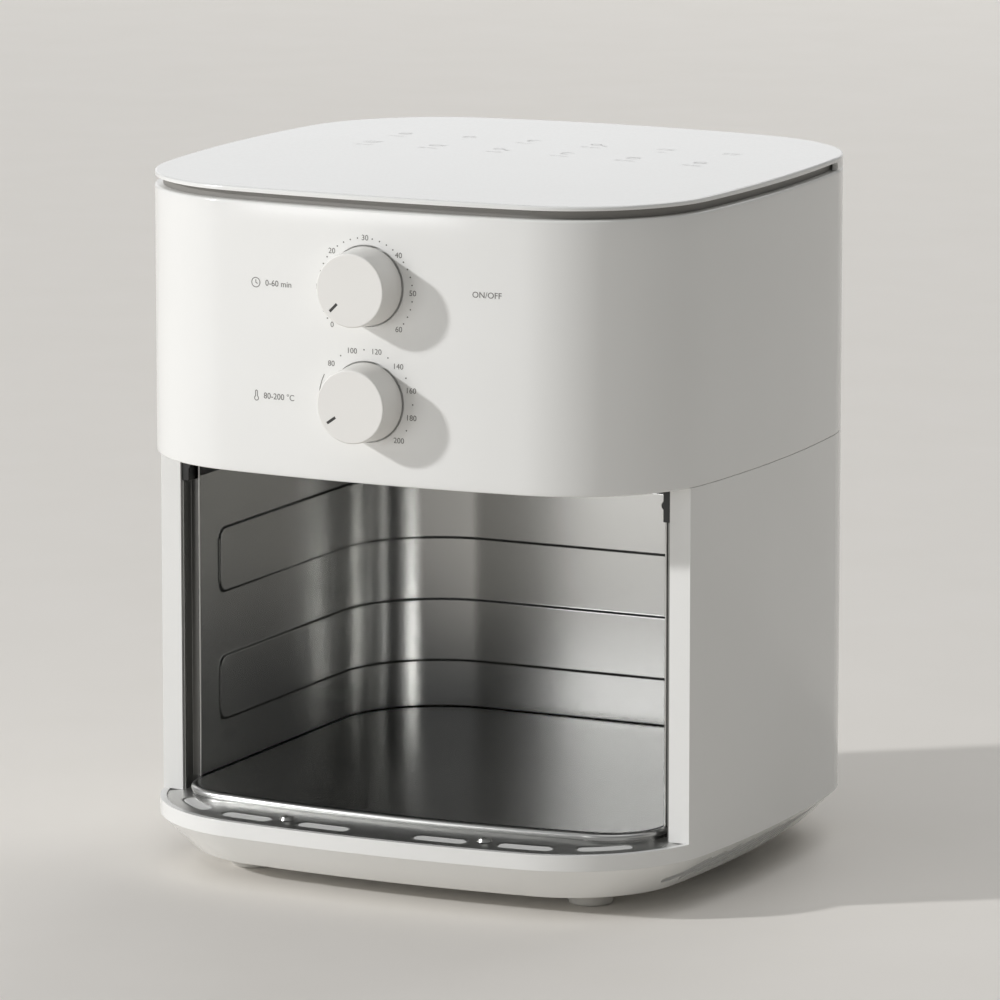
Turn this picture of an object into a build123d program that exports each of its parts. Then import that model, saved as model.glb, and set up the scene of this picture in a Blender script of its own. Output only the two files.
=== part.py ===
from build123d import *
import math
import os

# Counter-top air fryer with its drawer taken out.
# Millimetres, +Z up, the front faces -Y, the feet stand on z = 0.

# Body outline: four gently bowed sides joined by corner arcs
BODY_WIDTH = 260.0
BODY_DEPTH = 255.0
SIDE_RADIUS = 640.0
CORNER_RADIUS = 64.5

# Heights of the stacked mouldings
FOOT_HEIGHT = 7.1
BASE_HEIGHT = 15.0
LOWER_HEIGHT = 157.4
UPPER_HEIGHT = 114.4
COLLAR_HEIGHT = 3.9
LID_EDGE = 1.0
LID_CROWN = 2.2

# Walls and clearances
WALL = 2.8
SHEET = 1.2
THIN_SHEET = 1.0
FIT = 0.3
SEAT = 0.1
RUNNING = 0.05

# Base pan and feet
BASE_TAPER = 15.6
BASE_WALL = 2.5
BASE_EDGE_ROUND = 2.5
FOOT_RADIUS = 9.4
FOOT_ROUND = 1.2
FOOT_SIDE_INSET = 50.0
FOOT_END_INSET = 48.5
SLIT_COUNT = 9
SLIT_PITCH = 13.0
SLIT_LENGTH = 30.0
SLIT_WIDTH = 2.4
SLIT_SLANT = 21.0
SLIT_CENTRE_Y = -14.0

# Lower housing: front cut, lip, posts and the flange that the base screws into
CUT_DEPTH = 50.0
LIP_HEIGHT = 6.7
FLANGE_DROP = 4.5
FLANGE_WIDTH = 22.0

# Sill plate between the lip and the cavity floor
SILL_DROP = 0.5
SILL_TUCK = 10.0
SLOT_INSET = 9.2
SLOT_LENGTH = 25.0
SLOT_WIDTH = 4.6
SLOT_SIDE_GAP = 64.5
SLOT_PITCH = 38.1
SLOT_CORNER_ANGLE = 40.0
SILL_SCREW_INSET = 14.0

# Drawer bay: pressed steel liner and floor
BAY_SIDE_GAP = 20.5
BAY_REAR_GAP = 17.5
BAY_SETBACK = 7.5
BAY_CORNER = 48.0
FLOOR_RISE = 5.5
FLOOR_FRONT_INSET = 25.5
FLOOR_FRONT_CORNER = 26.0
FLOOR_ROUND = 2.2
BAND_HEIGHT = 28.0
BAND_LIFTS = (21.4, 77.6)
BAND_DEPTH = 1.0
BAND_SETBACK = 16.0
BAND_ROUND = 5.5

# Steel channels and catches beside the bay mouth
CHANNEL_SHEET = 1.0
CHANNEL_WIDTH = 4.3
CATCH_HEIGHT = 15.5
CATCH_BUMP_DROP = 8.5
CATCH_BUMP_RADIUS = 2.0
CATCH_REACH = 0.9
CATCH_GAP = 0.8

# Upper housing, collar and lid
LEDGE_HEIGHT = 1.5
LEDGE_WIDTH = 2.2
RIM_FLANGE = 12.0
RIM_ROUND = 1.0
COLLAR_INSET = 3.5
COLLAR_WALL = 2.5
LID_ROUND = 0.8
SKIRT_WALL = 2.5
SKIRT_REACH = 60.5

# Ceiling: partition, heater guard, heat shield
PARTITION = 2.0
CUP_REAR_GAP = 11.5
CUP_HEIGHT = 33.0
CUP_FLANGE = 5.0
CUP_ROUND = 6.0
CUP_SEAT = 2.0
GUARD_RING_COUNT = 5
GUARD_FIRST_COUNT = 4
GUARD_ADDED_COUNT = 2
GUARD_CORE = 22.0
GUARD_EDGE_GAP = 11.0
GUARD_SLOT = 9.0
GUARD_WEB = 7.0

# Heating element: two flat turns with both ends turned up
TUBE_RADIUS = 3.25
COIL_LIFT = 8.0
COIL_EDGE_GAP = 4.75
COIL_STEP = 6.0
COIL_HALF_TURNS = 4
COIL_BEND = 8.0
COIL_TAIL = 11.0

# Motor and fans on one upright shaft
SHAFT_RADIUS = 3.0
HOT_FAN_GAP = 3.75
HOT_FAN_LIFT = 16.0
HOT_FAN_HEIGHT = 12.0
HOT_FAN_BLADES = 8
COOL_FAN_GAP = 9.75
COOL_FAN_LIFT = 6.0
COOL_FAN_HEIGHT = 8.0
COOL_FAN_BLADES = 9
FAN_PLATE = 1.2
FAN_BLADE = 1.4
FAN_HUB = 9.0
BLADE_CURVE = 60.0
BLADE_SETBACK = 1.0
NUT_RADIUS = 6.0
NUT_HEIGHT = 4.0
MOTOR_RADIUS = 28.0
MOTOR_HEIGHT = 30.0
MOTOR_ROUND = 3.0
BUSH_RADIUS = 7.0
BUSH_HEIGHT = 6.0
BRIDGE_SHEET = 2.0
BRIDGE_WIDTH = 40.0
BRIDGE_FOOT_ROOM = 12.0
BRIDGE_WALL_GAP = 2.5
BRIDGE_SIDE_GAP = 3.0
BRIDGE_AIR = 5.0

# Controls: two knobs on the centre line of the front
TIMER_DROP = 31.4
DIAL_PITCH = 48.4
KNOB_GAP = 0.6
KNOB_LENGTH = 14.7
KNOB_BASE_RADIUS = 16.5
KNOB_FACE_RADIUS = 15.4
KNOB_ROUND = 0.7
KNOB_WALL = 2.6
KNOB_HUB_RADIUS = 6.0
SPINDLE_RADIUS = 3.0
SPINDLE_GRIP = 10.0
SPINDLE_REAR = 9.0
SPINDLE_HOLE = 4.5
POINTER_LENGTH = 4.6
POINTER_WIDTH = 1.1
POINTER_DEPTH = 0.6
POINTER_RADIUS = 10.6
TIMER_REST_ANGLE = 225.0
THERMOSTAT_REST_ANGLE = 215.0

# Control bracket and what it carries
BRACKET_GAP = 6.0
BRACKET_SHEET = 1.5
BRACKET_HALF_WIDTH = 30.0
BRACKET_ABOVE = 27.0
BRACKET_BELOW = 22.0
BOSS_RADIUS = 4.0
BOSS_MARGIN = 6.0
TIMER_SIZE = (42.0, 35.0, 42.0)
TIMER_ROUND = 3.0
BELL_RADIUS = 15.0
BELL_DEPTH = 7.0
THERMOSTAT_SIZE = (28.0, 24.0, 28.0)
BULB_RADIUS = 3.0
BULB_LENGTH = 18.0
BULB_DROP = 16.0
BULB_EDGE_GAP = 16.0
CAPILLARY_RADIUS = 1.0
CAPILLARY_RISE = 10.0
CAPILLARY_BEND = 4.0
LAMP_RADIUS = 3.0
LAMP_LENGTH = 9.0
LAMP_X = 54.0
LAMP_RISE = 5.5

# Drawer switch with its sprung lever
SWITCH_SIDE_GAP = 14.5
SWITCH_SIZE = (10.0, 12.0, 16.0)
SWITCH_SETBACK = 2.0
LEVER_THICKNESS = 1.6
LEVER_WIDTH = 5.0
LEVER_PIVOT_LIFT = 6.0
LEVER_DROP = 4.5
LEVER_PIN_RADIUS = 1.2
LEVER_EYE_RADIUS = 2.6
LEVER_SLOT = 8.0

# Small electrical pieces above the partition
TERMINAL_SIZE = (26.0, 12.0, 13.0)
TERMINAL_SIDE_GAP = 46.0
TERMINAL_FRONT_GAP = 42.0
TERMINAL_WAYS = 3
CUTOUT_RADIUS = 8.0
CUTOUT_HEIGHT = 3.5
CUTOUT_EDGE_GAP = 24.0
CUTOUT_ANGLE = -50.0

# Rear air outlet and cord entry
OUTLET_HALF_WIDTH = 40.0
OUTLET_LIFT = 5.0
OUTLET_HEIGHT = 38.0
OUTLET_SLATS = 5
OUTLET_SLOT = 3.4
OUTLET_BORDER = 5.0
OUTLET_FLANGE = 5.0
DUCT_HALF_WIDTH = 28.0
DUCT_LIFT = 8.0
DUCT_HEIGHT = 18.0
GLAND_RADIUS = 7.5
GLAND_FLANGE = 2.5
GLAND_PROUD = 2.0
GLAND_BORE = 3.8
GLAND_LIFT = 30.0

# Pan-head screws
SCREW_RADIUS = 1.5
SCREW_HEAD_RADIUS = 3.2
SCREW_HEAD_HEIGHT = 1.6
SCREW_TAP = 0.03
BASE_SCREW_INSET = 23.0
BASE_SCREW_Y = 52.0
BASE_SCREW_BOSS = 4.0

# Levels and places that follow from the sizes above
BASE_Z = FOOT_HEIGHT
LOWER_Z = BASE_Z + BASE_HEIGHT
LIP_Z = LOWER_Z + LIP_HEIGHT
SEAM_Z = LOWER_Z + LOWER_HEIGHT
RIM_Z = SEAM_Z + UPPER_HEIGHT
LID_Z = RIM_Z + COLLAR_HEIGHT
LID_TOP_Z = LID_Z + LID_EDGE + LID_CROWN
SILL_Z = LIP_Z - SILL_DROP
FLANGE_Z = LIP_Z - FLANGE_DROP
FLOOR_Z = SILL_Z + FLOOR_RISE
PARTITION_Z = SEAM_Z + LEDGE_HEIGHT
DECK_Z = PARTITION_Z + PARTITION
GUARD_TOP_Z = DECK_Z + THIN_SHEET
CUP_TOP_Z = GUARD_TOP_Z + CUP_HEIGHT
COIL_Z = GUARD_TOP_Z + COIL_LIFT
HOT_FAN_Z = GUARD_TOP_Z + HOT_FAN_LIFT
COOL_FAN_Z = CUP_TOP_Z + COOL_FAN_LIFT
BRIDGE_Z = COOL_FAN_Z + COOL_FAN_HEIGHT + BRIDGE_AIR
MOTOR_Z = BRIDGE_Z + BRIDGE_SHEET
FRONT_Y = -BODY_DEPTH / 2
BACK_Y = BODY_DEPTH / 2
CUT_Y = FRONT_Y + CUT_DEPTH
BAY_HALF = BODY_WIDTH / 2 - BAY_SIDE_GAP
BAY_FRONT_Y = CUT_Y + BAY_SETBACK
BAY_BACK_Y = BACK_Y - BAY_REAR_GAP
BAND_FRONT_Y = BAY_FRONT_Y + BAND_SETBACK
POST_INNER = BAY_HALF + SHEET + CHANNEL_WIDTH
CHANNEL_TOP = SEAM_Z - CATCH_HEIGHT
CATCH_BUMP_Z = SEAM_Z - CATCH_BUMP_DROP
SILL_BACK_Y = BAY_FRONT_Y + SILL_TUCK
SLOT_OUTER_X = BODY_WIDTH / 2 - SLOT_SIDE_GAP
SLOT_INNER_X = SLOT_OUTER_X - SLOT_PITCH
SILL_SCREW_X = (SLOT_OUTER_X + SLOT_INNER_X) / 2
SKIRT_FRONT_Y = BACK_Y - SKIRT_REACH
OUTLET_BOTTOM_Z = DECK_Z + OUTLET_LIFT
OUTLET_TOP_Z = OUTLET_BOTTOM_Z + OUTLET_HEIGHT
DUCT_BOTTOM_Z = GUARD_TOP_Z + DUCT_LIFT
DUCT_TOP_Z = DUCT_BOTTOM_Z + DUCT_HEIGHT
GLAND_Z = LOWER_Z + GLAND_LIFT
TIMER_Z = RIM_Z - TIMER_DROP
THERMOSTAT_Z = TIMER_Z - DIAL_PITCH
BRACKET_TOP_Z = TIMER_Z + BRACKET_ABOVE
BRACKET_BOTTOM_Z = THERMOSTAT_Z - BRACKET_BELOW
LAMP_Z = TIMER_Z + LAMP_RISE
FAN_Y = (BAY_FRONT_Y + BAY_BACK_Y) / 2
BRIDGE_TOE_X = BODY_WIDTH / 2 - WALL - BRIDGE_WALL_GAP
CUP_SIDE_ROOM = BRIDGE_TOE_X - BRIDGE_FOOT_ROOM - BRIDGE_SIDE_GAP - CUP_FLANGE
CUP_RADIUS = min(BACK_Y - FAN_Y - CUP_REAR_GAP, CUP_SIDE_ROOM)
COIL_LAST_X = CUP_RADIUS - THIN_SHEET - COIL_EDGE_GAP - TUBE_RADIUS
COIL_FIRST_X = COIL_LAST_X - COIL_STEP * COIL_HALF_TURNS
HOT_FAN_RADIUS = COIL_FIRST_X - TUBE_RADIUS - HOT_FAN_GAP
COOL_FAN_RADIUS = COIL_FIRST_X - TUBE_RADIUS - COOL_FAN_GAP
BRIDGE_LEG_X = CUP_RADIUS + CUP_FLANGE + BRIDGE_SIDE_GAP
SWITCH_X = BAY_HALF - SWITCH_SIDE_GAP
SWITCH_BACK_Y = BAY_FRONT_Y - SWITCH_SETBACK
KNOB_BASE_Y = FRONT_Y - KNOB_GAP
KNOB_FACE_Y = KNOB_BASE_Y - KNOB_LENGTH
BRACKET_Y = FRONT_Y + WALL + BRACKET_GAP
CONTROL_Y = BRACKET_Y + BRACKET_SHEET
BULB_Y = FAN_Y - CUP_RADIUS + BULB_EDGE_GAP
FAR = 2 * BODY_WIDTH

# The origin lies under the middle of the whole reach, knobs and cord entry included
CENTRE_SHIFT = -(KNOB_FACE_Y + BACK_Y + GLAND_PROUD) / 2


def arc_centres():
    """Distances of the bowed sides' centres behind the middle, and the corner arc's centre."""
    side_gap = SIDE_RADIUS - BODY_WIDTH / 2
    end_gap = SIDE_RADIUS - BODY_DEPTH / 2
    apart = math.hypot(side_gap, end_gap)
    lift = math.sqrt((SIDE_RADIUS - CORNER_RADIUS) ** 2 - (apart / 2) ** 2) / apart
    return side_gap, end_gap, lift * end_gap - side_gap / 2, lift * side_gap - end_gap / 2


def outline(inset=0.0):
    """The body's outline in plan, drawn in by inset all round."""
    side_gap, end_gap, corner_x, corner_y = arc_centres()
    reach = SIDE_RADIUS - inset
    corner = CORNER_RADIUS - inset
    side_angle = math.atan2(corner_y, corner_x + side_gap)
    end_angle = math.atan2(corner_y + end_gap, corner_x)
    middle = (side_angle + end_angle) / 2
    side = (reach * math.cos(side_angle) - side_gap, reach * math.sin(side_angle))
    end = (reach * math.cos(end_angle), reach * math.sin(end_angle) - end_gap)
    knee = (corner_x + corner * math.cos(middle), corner_y + corner * math.sin(middle))
    half_width = BODY_WIDTH / 2 - inset
    half_depth = BODY_DEPTH / 2 - inset

    def at(point, x_sign, y_sign):
        return (x_sign * point[0], y_sign * point[1])

    return make_face([
        ThreePointArc(at(side, 1, -1), (half_width, 0), side),
        ThreePointArc(side, knee, end),
        ThreePointArc(end, (0, half_depth), at(end, -1, 1)),
        ThreePointArc(at(end, -1, 1), at(knee, -1, 1), at(side, -1, 1)),
        ThreePointArc(at(side, -1, 1), (-half_width, 0), at(side, -1, -1)),
        ThreePointArc(at(side, -1, -1), at(knee, -1, -1), at(end, -1, -1)),
        ThreePointArc(at(end, -1, -1), (0, -half_depth), at(end, 1, -1)),
        ThreePointArc(at(end, 1, -1), at(knee, 1, -1), at(side, 1, -1)),
    ])


def prism(inset, bottom, top):
    """The outline, drawn in by inset, as an upright solid."""
    return extrude(Pos(0, 0, bottom) * outline(inset), top - bottom)


def ring(outer_inset, inner_inset, bottom, top):
    """An upright wall that follows the outline."""
    return prism(outer_inset, bottom, top) - prism(inner_inset, bottom, top)


def front_y(x, inset=0.0):
    """Where the bowed front lies at a place across it."""
    end_gap = SIDE_RADIUS - BODY_DEPTH / 2
    return end_gap - math.sqrt((SIDE_RADIUS - inset) ** 2 - x ** 2)


def block(x_from, x_to, y_from, y_to, z_from, z_to):
    """A box given by its limits."""
    size = Box(abs(x_to - x_from), abs(y_to - y_from), abs(z_to - z_from))
    return Pos((x_from + x_to) / 2, (y_from + y_to) / 2, (z_from + z_to) / 2) * size


def rod(x, y, bottom, top, radius):
    """An upright cylinder."""
    return Pos(x, y, (bottom + top) / 2) * Cylinder(radius, top - bottom)


def facing_front(x, y, z):
    """A place whose own z runs out of the front and whose own y runs up."""
    return Location(Plane(origin=(x, y, z), x_dir=(1, 0, 0), z_dir=(0, -1, 0)))


def front_rod(x, z, y_front, y_back, radius):
    """A cylinder along Y."""
    turned = Rotation(90, 0, 0) * Cylinder(radius, y_back - y_front)
    return Pos(x, (y_front + y_back) / 2, z) * turned


def bay_plan(grow=0.0):
    """The drawer bay in plan: straight sides, round rear corners, open at its front line."""
    half = BAY_HALF + grow
    back = BAY_BACK_Y + grow
    corner = BAY_CORNER + grow
    diagonal = corner * (1 - math.sqrt(0.5))
    return make_face([
        Line((-half, BAY_FRONT_Y), (half, BAY_FRONT_Y)),
        Line((half, BAY_FRONT_Y), (half, back - corner)),
        ThreePointArc((half, back - corner), (half - diagonal, back - diagonal), (half - corner, back)),
        Line((half - corner, back), (corner - half, back)),
        ThreePointArc((corner - half, back), (diagonal - half, back - diagonal), (-half, back - corner)),
        Line((-half, back - corner), (-half, BAY_FRONT_Y)),
    ])


def bay_prism(grow, bottom, top):
    """The drawer bay's plan as an upright solid."""
    return extrude(Pos(0, 0, bottom) * bay_plan(grow), top - bottom)


def foot(x_sign, y_sign):
    """A round foot."""
    x = x_sign * (BODY_WIDTH / 2 - FOOT_SIDE_INSET)
    y = y_sign * (BODY_DEPTH / 2 - FOOT_END_INSET)
    body = rod(x, y, 0, FOOT_HEIGHT, FOOT_RADIUS)
    return fillet(body.edges().group_by(Axis.Z)[0], FOOT_ROUND)


def base_tapers(inset, floor):
    """The base pan's tapered form, drawn in by inset, from the level floor up."""
    slope = BASE_TAPER / BASE_HEIGHT
    top = Pos(0, 0, LOWER_Z) * outline(inset)
    bottom = Pos(0, 0, floor) * outline(inset + slope * (LOWER_Z - floor))
    return loft([bottom, top], ruled=True)


def slit_cutters():
    """Slanted air slits through the two sloped sides of the base pan."""
    tilt = math.degrees(math.atan2(BASE_TAPER, BASE_HEIGHT))
    middle_x = BODY_WIDTH / 2 - BASE_TAPER / 2
    middle_z = BASE_Z + BASE_HEIGHT / 2
    first = SLIT_CENTRE_Y - SLIT_PITCH * (SLIT_COUNT - 1) / 2
    cutters = []
    for number in range(SLIT_COUNT):
        place_y = first + number * SLIT_PITCH
        bow = SIDE_RADIUS - math.sqrt(SIDE_RADIUS ** 2 - place_y ** 2)
        flat = Rot(0, 0, SLIT_SLANT) * SlotOverall(SLIT_LENGTH, SLIT_WIDTH)
        slot = extrude(flat, 3 * BASE_WALL, both=True)
        upright = Plane(origin=(middle_x - bow, place_y, middle_z), x_dir=(0, 1, 0), z_dir=(1, 0, 0))
        lying = Location(upright) * Rot(tilt, 0, 0) * slot
        cutters.append(lying)
        cutters.append(mirror(lying, Plane.YZ))
    return cutters


def base_screw_places():
    """Where the four base screws stand."""
    screw_x = BODY_WIDTH / 2 - BASE_SCREW_INSET
    return [(x * screw_x, y * BASE_SCREW_Y) for x in (-1, 1) for y in (-1, 1)]


def base_pan():
    """The sloped pan under the lower housing, with air slits and screw bosses."""
    shell = base_tapers(0, BASE_Z)
    shell = fillet(shell.edges().group_by(Axis.Z)[0], BASE_EDGE_ROUND)
    shell -= base_tapers(BASE_WALL, BASE_Z + BASE_WALL)
    for cutter in slit_cutters():
        shell -= cutter
    for x, y in base_screw_places():
        shell += rod(x, y, BASE_Z, FLANGE_Z, BASE_SCREW_BOSS)
        shell -= rod(x, y, BASE_Z, FLANGE_Z, SCREW_RADIUS + SEAT)
        shell -= rod(x, y, BASE_Z, BASE_Z + SCREW_HEAD_HEIGHT, SCREW_HEAD_RADIUS + SEAT)
    return shell


def base_screws():
    """Four screws from below into the lower housing's flange."""
    head_top = BASE_Z + SCREW_HEAD_HEIGHT
    screws = []
    for x, y in base_screw_places():
        head = rod(x, y, BASE_Z, head_top, SCREW_HEAD_RADIUS)
        screws.append(head + rod(x, y, head_top, SILL_Z - THIN_SHEET, SCREW_RADIUS))
    return Compound(screws)


def lower_housing():
    """The lower wall: open at the front above a low lip, with flat posts beside the opening."""
    shell = ring(0, WALL, LOWER_Z, SEAM_Z)
    shell -= block(-FAR, FAR, -FAR, CUT_Y, LIP_Z, SEAM_Z)
    for side in (-1, 1):
        post = block(side * POST_INNER, side * FAR, CUT_Y, CUT_Y + WALL, LIP_Z, SEAM_Z)
        shell += post & prism(WALL / 2, LIP_Z, SEAM_Z)
    shell += ring(WALL / 2, WALL + FLANGE_WIDTH, FLANGE_Z, SILL_Z - THIN_SHEET)
    for x, y in base_screw_places():
        shell -= rod(x, y, FLANGE_Z, SILL_Z, SCREW_RADIUS + SCREW_TAP)
    for x in (-SILL_SCREW_X, SILL_SCREW_X):
        y = front_y(x, SILL_SCREW_INSET)
        shell -= rod(x, y, FLANGE_Z, SILL_Z, SCREW_RADIUS + SCREW_TAP)
    shell -= front_rod(0, GLAND_Z, BACK_Y - 2 * WALL, BACK_Y + WALL, GLAND_RADIUS + SEAT)
    return shell


def sill_slots():
    """Long slots that follow the front edge and its corners."""
    side_gap, end_gap, corner_x, corner_y = arc_centres()
    slots = []
    reach = SIDE_RADIUS - SLOT_INSET
    sweep = math.degrees(SLOT_LENGTH / reach)
    for x in (SLOT_INNER_X, SLOT_OUTER_X):
        for side in (-1, 1):
            middle = -90 + side * math.degrees(math.asin(x / reach))
            arc = CenterArc((0, end_gap), reach, middle - sweep / 2, sweep)
            slots.append(SlotArc(arc, SLOT_WIDTH))
    reach = CORNER_RADIUS - SLOT_INSET
    sweep = math.degrees(SLOT_LENGTH / reach)
    for side in (-1, 1):
        middle = -90 + side * SLOT_CORNER_ANGLE
        arc = CenterArc((side * corner_x, -corner_y), reach, middle - sweep / 2, sweep)
        slots.append(SlotArc(arc, SLOT_WIDTH))
    return slots


def sill_plate():
    """The slotted steel plate inside the front lip."""
    bottom = SILL_Z - THIN_SHEET
    plate = prism(WALL + FIT, bottom, SILL_Z) & block(-FAR, FAR, -FAR, SILL_BACK_Y, bottom, SILL_Z)
    for slot in sill_slots():
        plate -= extrude(Pos(0, 0, bottom) * slot, THIN_SHEET)
    for x in (-SILL_SCREW_X, SILL_SCREW_X):
        plate -= rod(x, front_y(x, SILL_SCREW_INSET), bottom, SILL_Z, SCREW_RADIUS + SEAT)
    return plate


def sill_screws():
    """Two screws that hold the sill plate down."""
    screws = []
    for x in (-SILL_SCREW_X, SILL_SCREW_X):
        y = front_y(x, SILL_SCREW_INSET)
        head = rod(x, y, SILL_Z, SILL_Z + SCREW_HEAD_HEIGHT, SCREW_HEAD_RADIUS)
        head = fillet(head.edges().group_by(Axis.Z)[-1], SCREW_HEAD_HEIGHT / 2)
        screws.append(head + rod(x, y, FLANGE_Z, SILL_Z, SCREW_RADIUS))
    return Compound(screws)


def floor_plan(inset):
    """The cavity floor in plan: the bay's sides and rear, and a bowed front with round corners."""
    half = BAY_HALF + SHEET - inset
    back = BAY_BACK_Y + SHEET - inset
    rear_corner = BAY_CORNER + SHEET - inset
    front_inset = FLOOR_FRONT_INSET + inset
    corner = FLOOR_FRONT_CORNER - inset
    start_x = half - corner
    start_y = front_y(start_x, front_inset)
    outer_y = start_y + corner
    lean = corner * (1 - math.sqrt(0.5))
    rear_lean = rear_corner * (1 - math.sqrt(0.5))
    rear_x = half - rear_corner
    rear_y = back - rear_corner
    return make_face([
        ThreePointArc((-start_x, start_y), (0, front_y(0, front_inset)), (start_x, start_y)),
        ThreePointArc((start_x, start_y), (half - lean, start_y + lean), (half, outer_y)),
        Line((half, outer_y), (half, rear_y)),
        ThreePointArc((half, rear_y), (half - rear_lean, back - rear_lean), (rear_x, back)),
        Line((rear_x, back), (-rear_x, back)),
        ThreePointArc((-rear_x, back), (rear_lean - half, back - rear_lean), (-half, rear_y)),
        Line((-half, rear_y), (-half, outer_y)),
        ThreePointArc((-half, outer_y), (lean - half, start_y + lean), (-start_x, start_y)),
    ])


def cavity_floor():
    """The pressed floor pan, with a rounded rim that drops to the sill."""
    pan = extrude(Pos(0, 0, SILL_Z) * floor_plan(0), FLOOR_RISE)
    rim = pan.edges().group_by(Axis.Z)[-1].filter_by(lambda edge: edge.center().Y < BAY_FRONT_Y - FLOOR_ROUND)
    pan = fillet(rim, FLOOR_ROUND)
    return pan - extrude(Pos(0, 0, SILL_Z) * floor_plan(THIN_SHEET), FLOOR_RISE - THIN_SHEET)


def band_slab(level, inset):
    """The side view of one pressed band, with rounded front ends, as a bar across the bay."""
    height = BAND_HEIGHT - 2 * inset
    length = FAR
    face = RectangleRounded(length, height, BAND_ROUND - inset)
    centre_y = BAND_FRONT_Y + inset + length / 2
    side_view = Plane(origin=(0, centre_y, level + BAND_HEIGHT / 2), x_dir=(0, 1, 0), z_dir=(1, 0, 0))
    return extrude(Location(side_view) * face, FAR, both=True)


def cavity_liner():
    """The pressed steel wall round the bay, with two bands pressed inwards."""
    wall = bay_prism(SHEET, FLOOR_Z, PARTITION_Z) - bay_prism(0, FLOOR_Z, PARTITION_Z)
    for lift in BAND_LIFTS:
        level = FLOOR_Z + lift
        top = level + BAND_HEIGHT
        inward = bay_prism(0, level, top) - bay_prism(-BAND_DEPTH, level, top)
        wall += inward & band_slab(level, 0)
        pocket = bay_prism(SHEET, level, top) - bay_prism(SHEET - BAND_DEPTH, level, top)
        wall -= pocket & band_slab(level, SHEET)
    return wall


def side_channel(side):
    """The folded steel strip between the liner's front edge and the post."""
    outer = side * POST_INNER
    inner = side * (BAY_HALF + SHEET)
    front = CUT_Y + THIN_SHEET
    back = BAY_FRONT_Y + CHANNEL_SHEET
    leg = block(outer - side * CHANNEL_SHEET, outer, front, back, SILL_Z, CHANNEL_TOP)
    web = block(inner, outer, BAY_FRONT_Y, back, FLOOR_Z, CHANNEL_TOP)
    return leg + web


def drawer_catch(side):
    """The black clip at the top of a channel, with a round bump for the drawer."""
    outer = side * POST_INNER
    inner = BAY_HALF + SHEET + CATCH_GAP
    front = CUT_Y + THIN_SHEET
    back = BAY_FRONT_Y - FIT
    clip = block(side * inner, outer, front, back, CHANNEL_TOP, SEAM_Z - FIT)
    bump_x = side * (inner - CATCH_REACH + CATCH_BUMP_RADIUS)
    return clip + front_rod(bump_x, CATCH_BUMP_Z, front, back, CATCH_BUMP_RADIUS)


def bracket_boss_places():
    """Where the four bosses behind the front stand, as x and z."""
    reach = BRACKET_HALF_WIDTH - BOSS_MARGIN
    levels = (BRACKET_BOTTOM_Z + BOSS_MARGIN, BRACKET_TOP_Z - BOSS_MARGIN)
    return [(side * reach, level) for side in (-1, 1) for level in levels]


def upper_housing():
    """The upper wall: front panel, rear outlet opening, rim flange and inner ledge."""
    shell = prism(0, SEAM_Z, RIM_Z)
    shell = fillet(shell.edges().group_by(Axis.Z)[-1], RIM_ROUND)
    shell -= prism(WALL, SEAM_Z, RIM_Z - WALL)
    shell -= prism(RIM_FLANGE, SEAM_Z, RIM_Z)
    shell += ring(WALL / 2, WALL + LEDGE_WIDTH, SEAM_Z, PARTITION_Z)
    for x, z in bracket_boss_places():
        shell += front_rod(x, z, front_y(x, WALL / 2), BRACKET_Y, BOSS_RADIUS)
        shell -= front_rod(x, z, front_y(x, WALL), BRACKET_Y, SCREW_RADIUS + SCREW_TAP)
    for z in (TIMER_Z, THERMOSTAT_Z):
        shell -= front_rod(0, z, FRONT_Y - WALL, BRACKET_Y, SPINDLE_HOLE)
    opening = block(-OUTLET_HALF_WIDTH, OUTLET_HALF_WIDTH, 0, FAR, OUTLET_BOTTOM_Z, OUTLET_TOP_Z)
    return shell - opening


def top_collar():
    """The grey band set back under the lid."""
    return ring(COLLAR_INSET, COLLAR_INSET + COLLAR_WALL, RIM_Z, LID_Z)


def lid_crown(level):
    """A ball whose cap forms the lid's crown, touching the level at its top."""
    reach = math.hypot(BODY_WIDTH / 2, BODY_DEPTH / 2)
    radius = (reach ** 2 + LID_CROWN ** 2) / (2 * LID_CROWN)
    return Pos(0, 0, level - radius) * Rot(90, 0, 0) * Sphere(radius)


def top_cover():
    """The slightly crowned lid, with a rear skirt that closes the gap behind the air slot."""
    plate = prism(0, LID_Z, LID_TOP_Z) & lid_crown(LID_TOP_Z)
    rim = plate.edges().filter_by(lambda edge: edge.center().Z > LID_Z + LID_EDGE / 2)
    rim = rim.filter_by(lambda edge: edge.bounding_box().size.Z < LID_EDGE / 2)
    plate = fillet(rim, LID_ROUND)
    skirt = ring(0, SKIRT_WALL, RIM_Z + FIT, LID_Z) & block(-FAR, FAR, SKIRT_FRONT_Y, FAR, RIM_Z, LID_Z)
    round_end = Pos(0, SKIRT_FRONT_Y, (RIM_Z + LID_Z) / 2) * Rot(0, 90, 0) * Cylinder(COLLAR_HEIGHT / 2, FAR)
    return plate + (skirt - round_end)


def partition_plate():
    """The plate that parts the works from the bay, with the fan opening and the switch slot."""
    plate = prism(WALL + FIT, PARTITION_Z, DECK_Z)
    plate -= rod(0, FAN_Y, PARTITION_Z, DECK_Z, CUP_RADIUS - CUP_SEAT)
    half_slot = LEVER_WIDTH / 2 + FIT
    lever_y = lever_pivot_y()
    front = lever_y - LEVER_THICKNESS - FIT
    slot = block(SWITCH_X - half_slot, SWITCH_X + half_slot, front, front + LEVER_SLOT, PARTITION_Z, DECK_Z)
    return plate - slot


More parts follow.
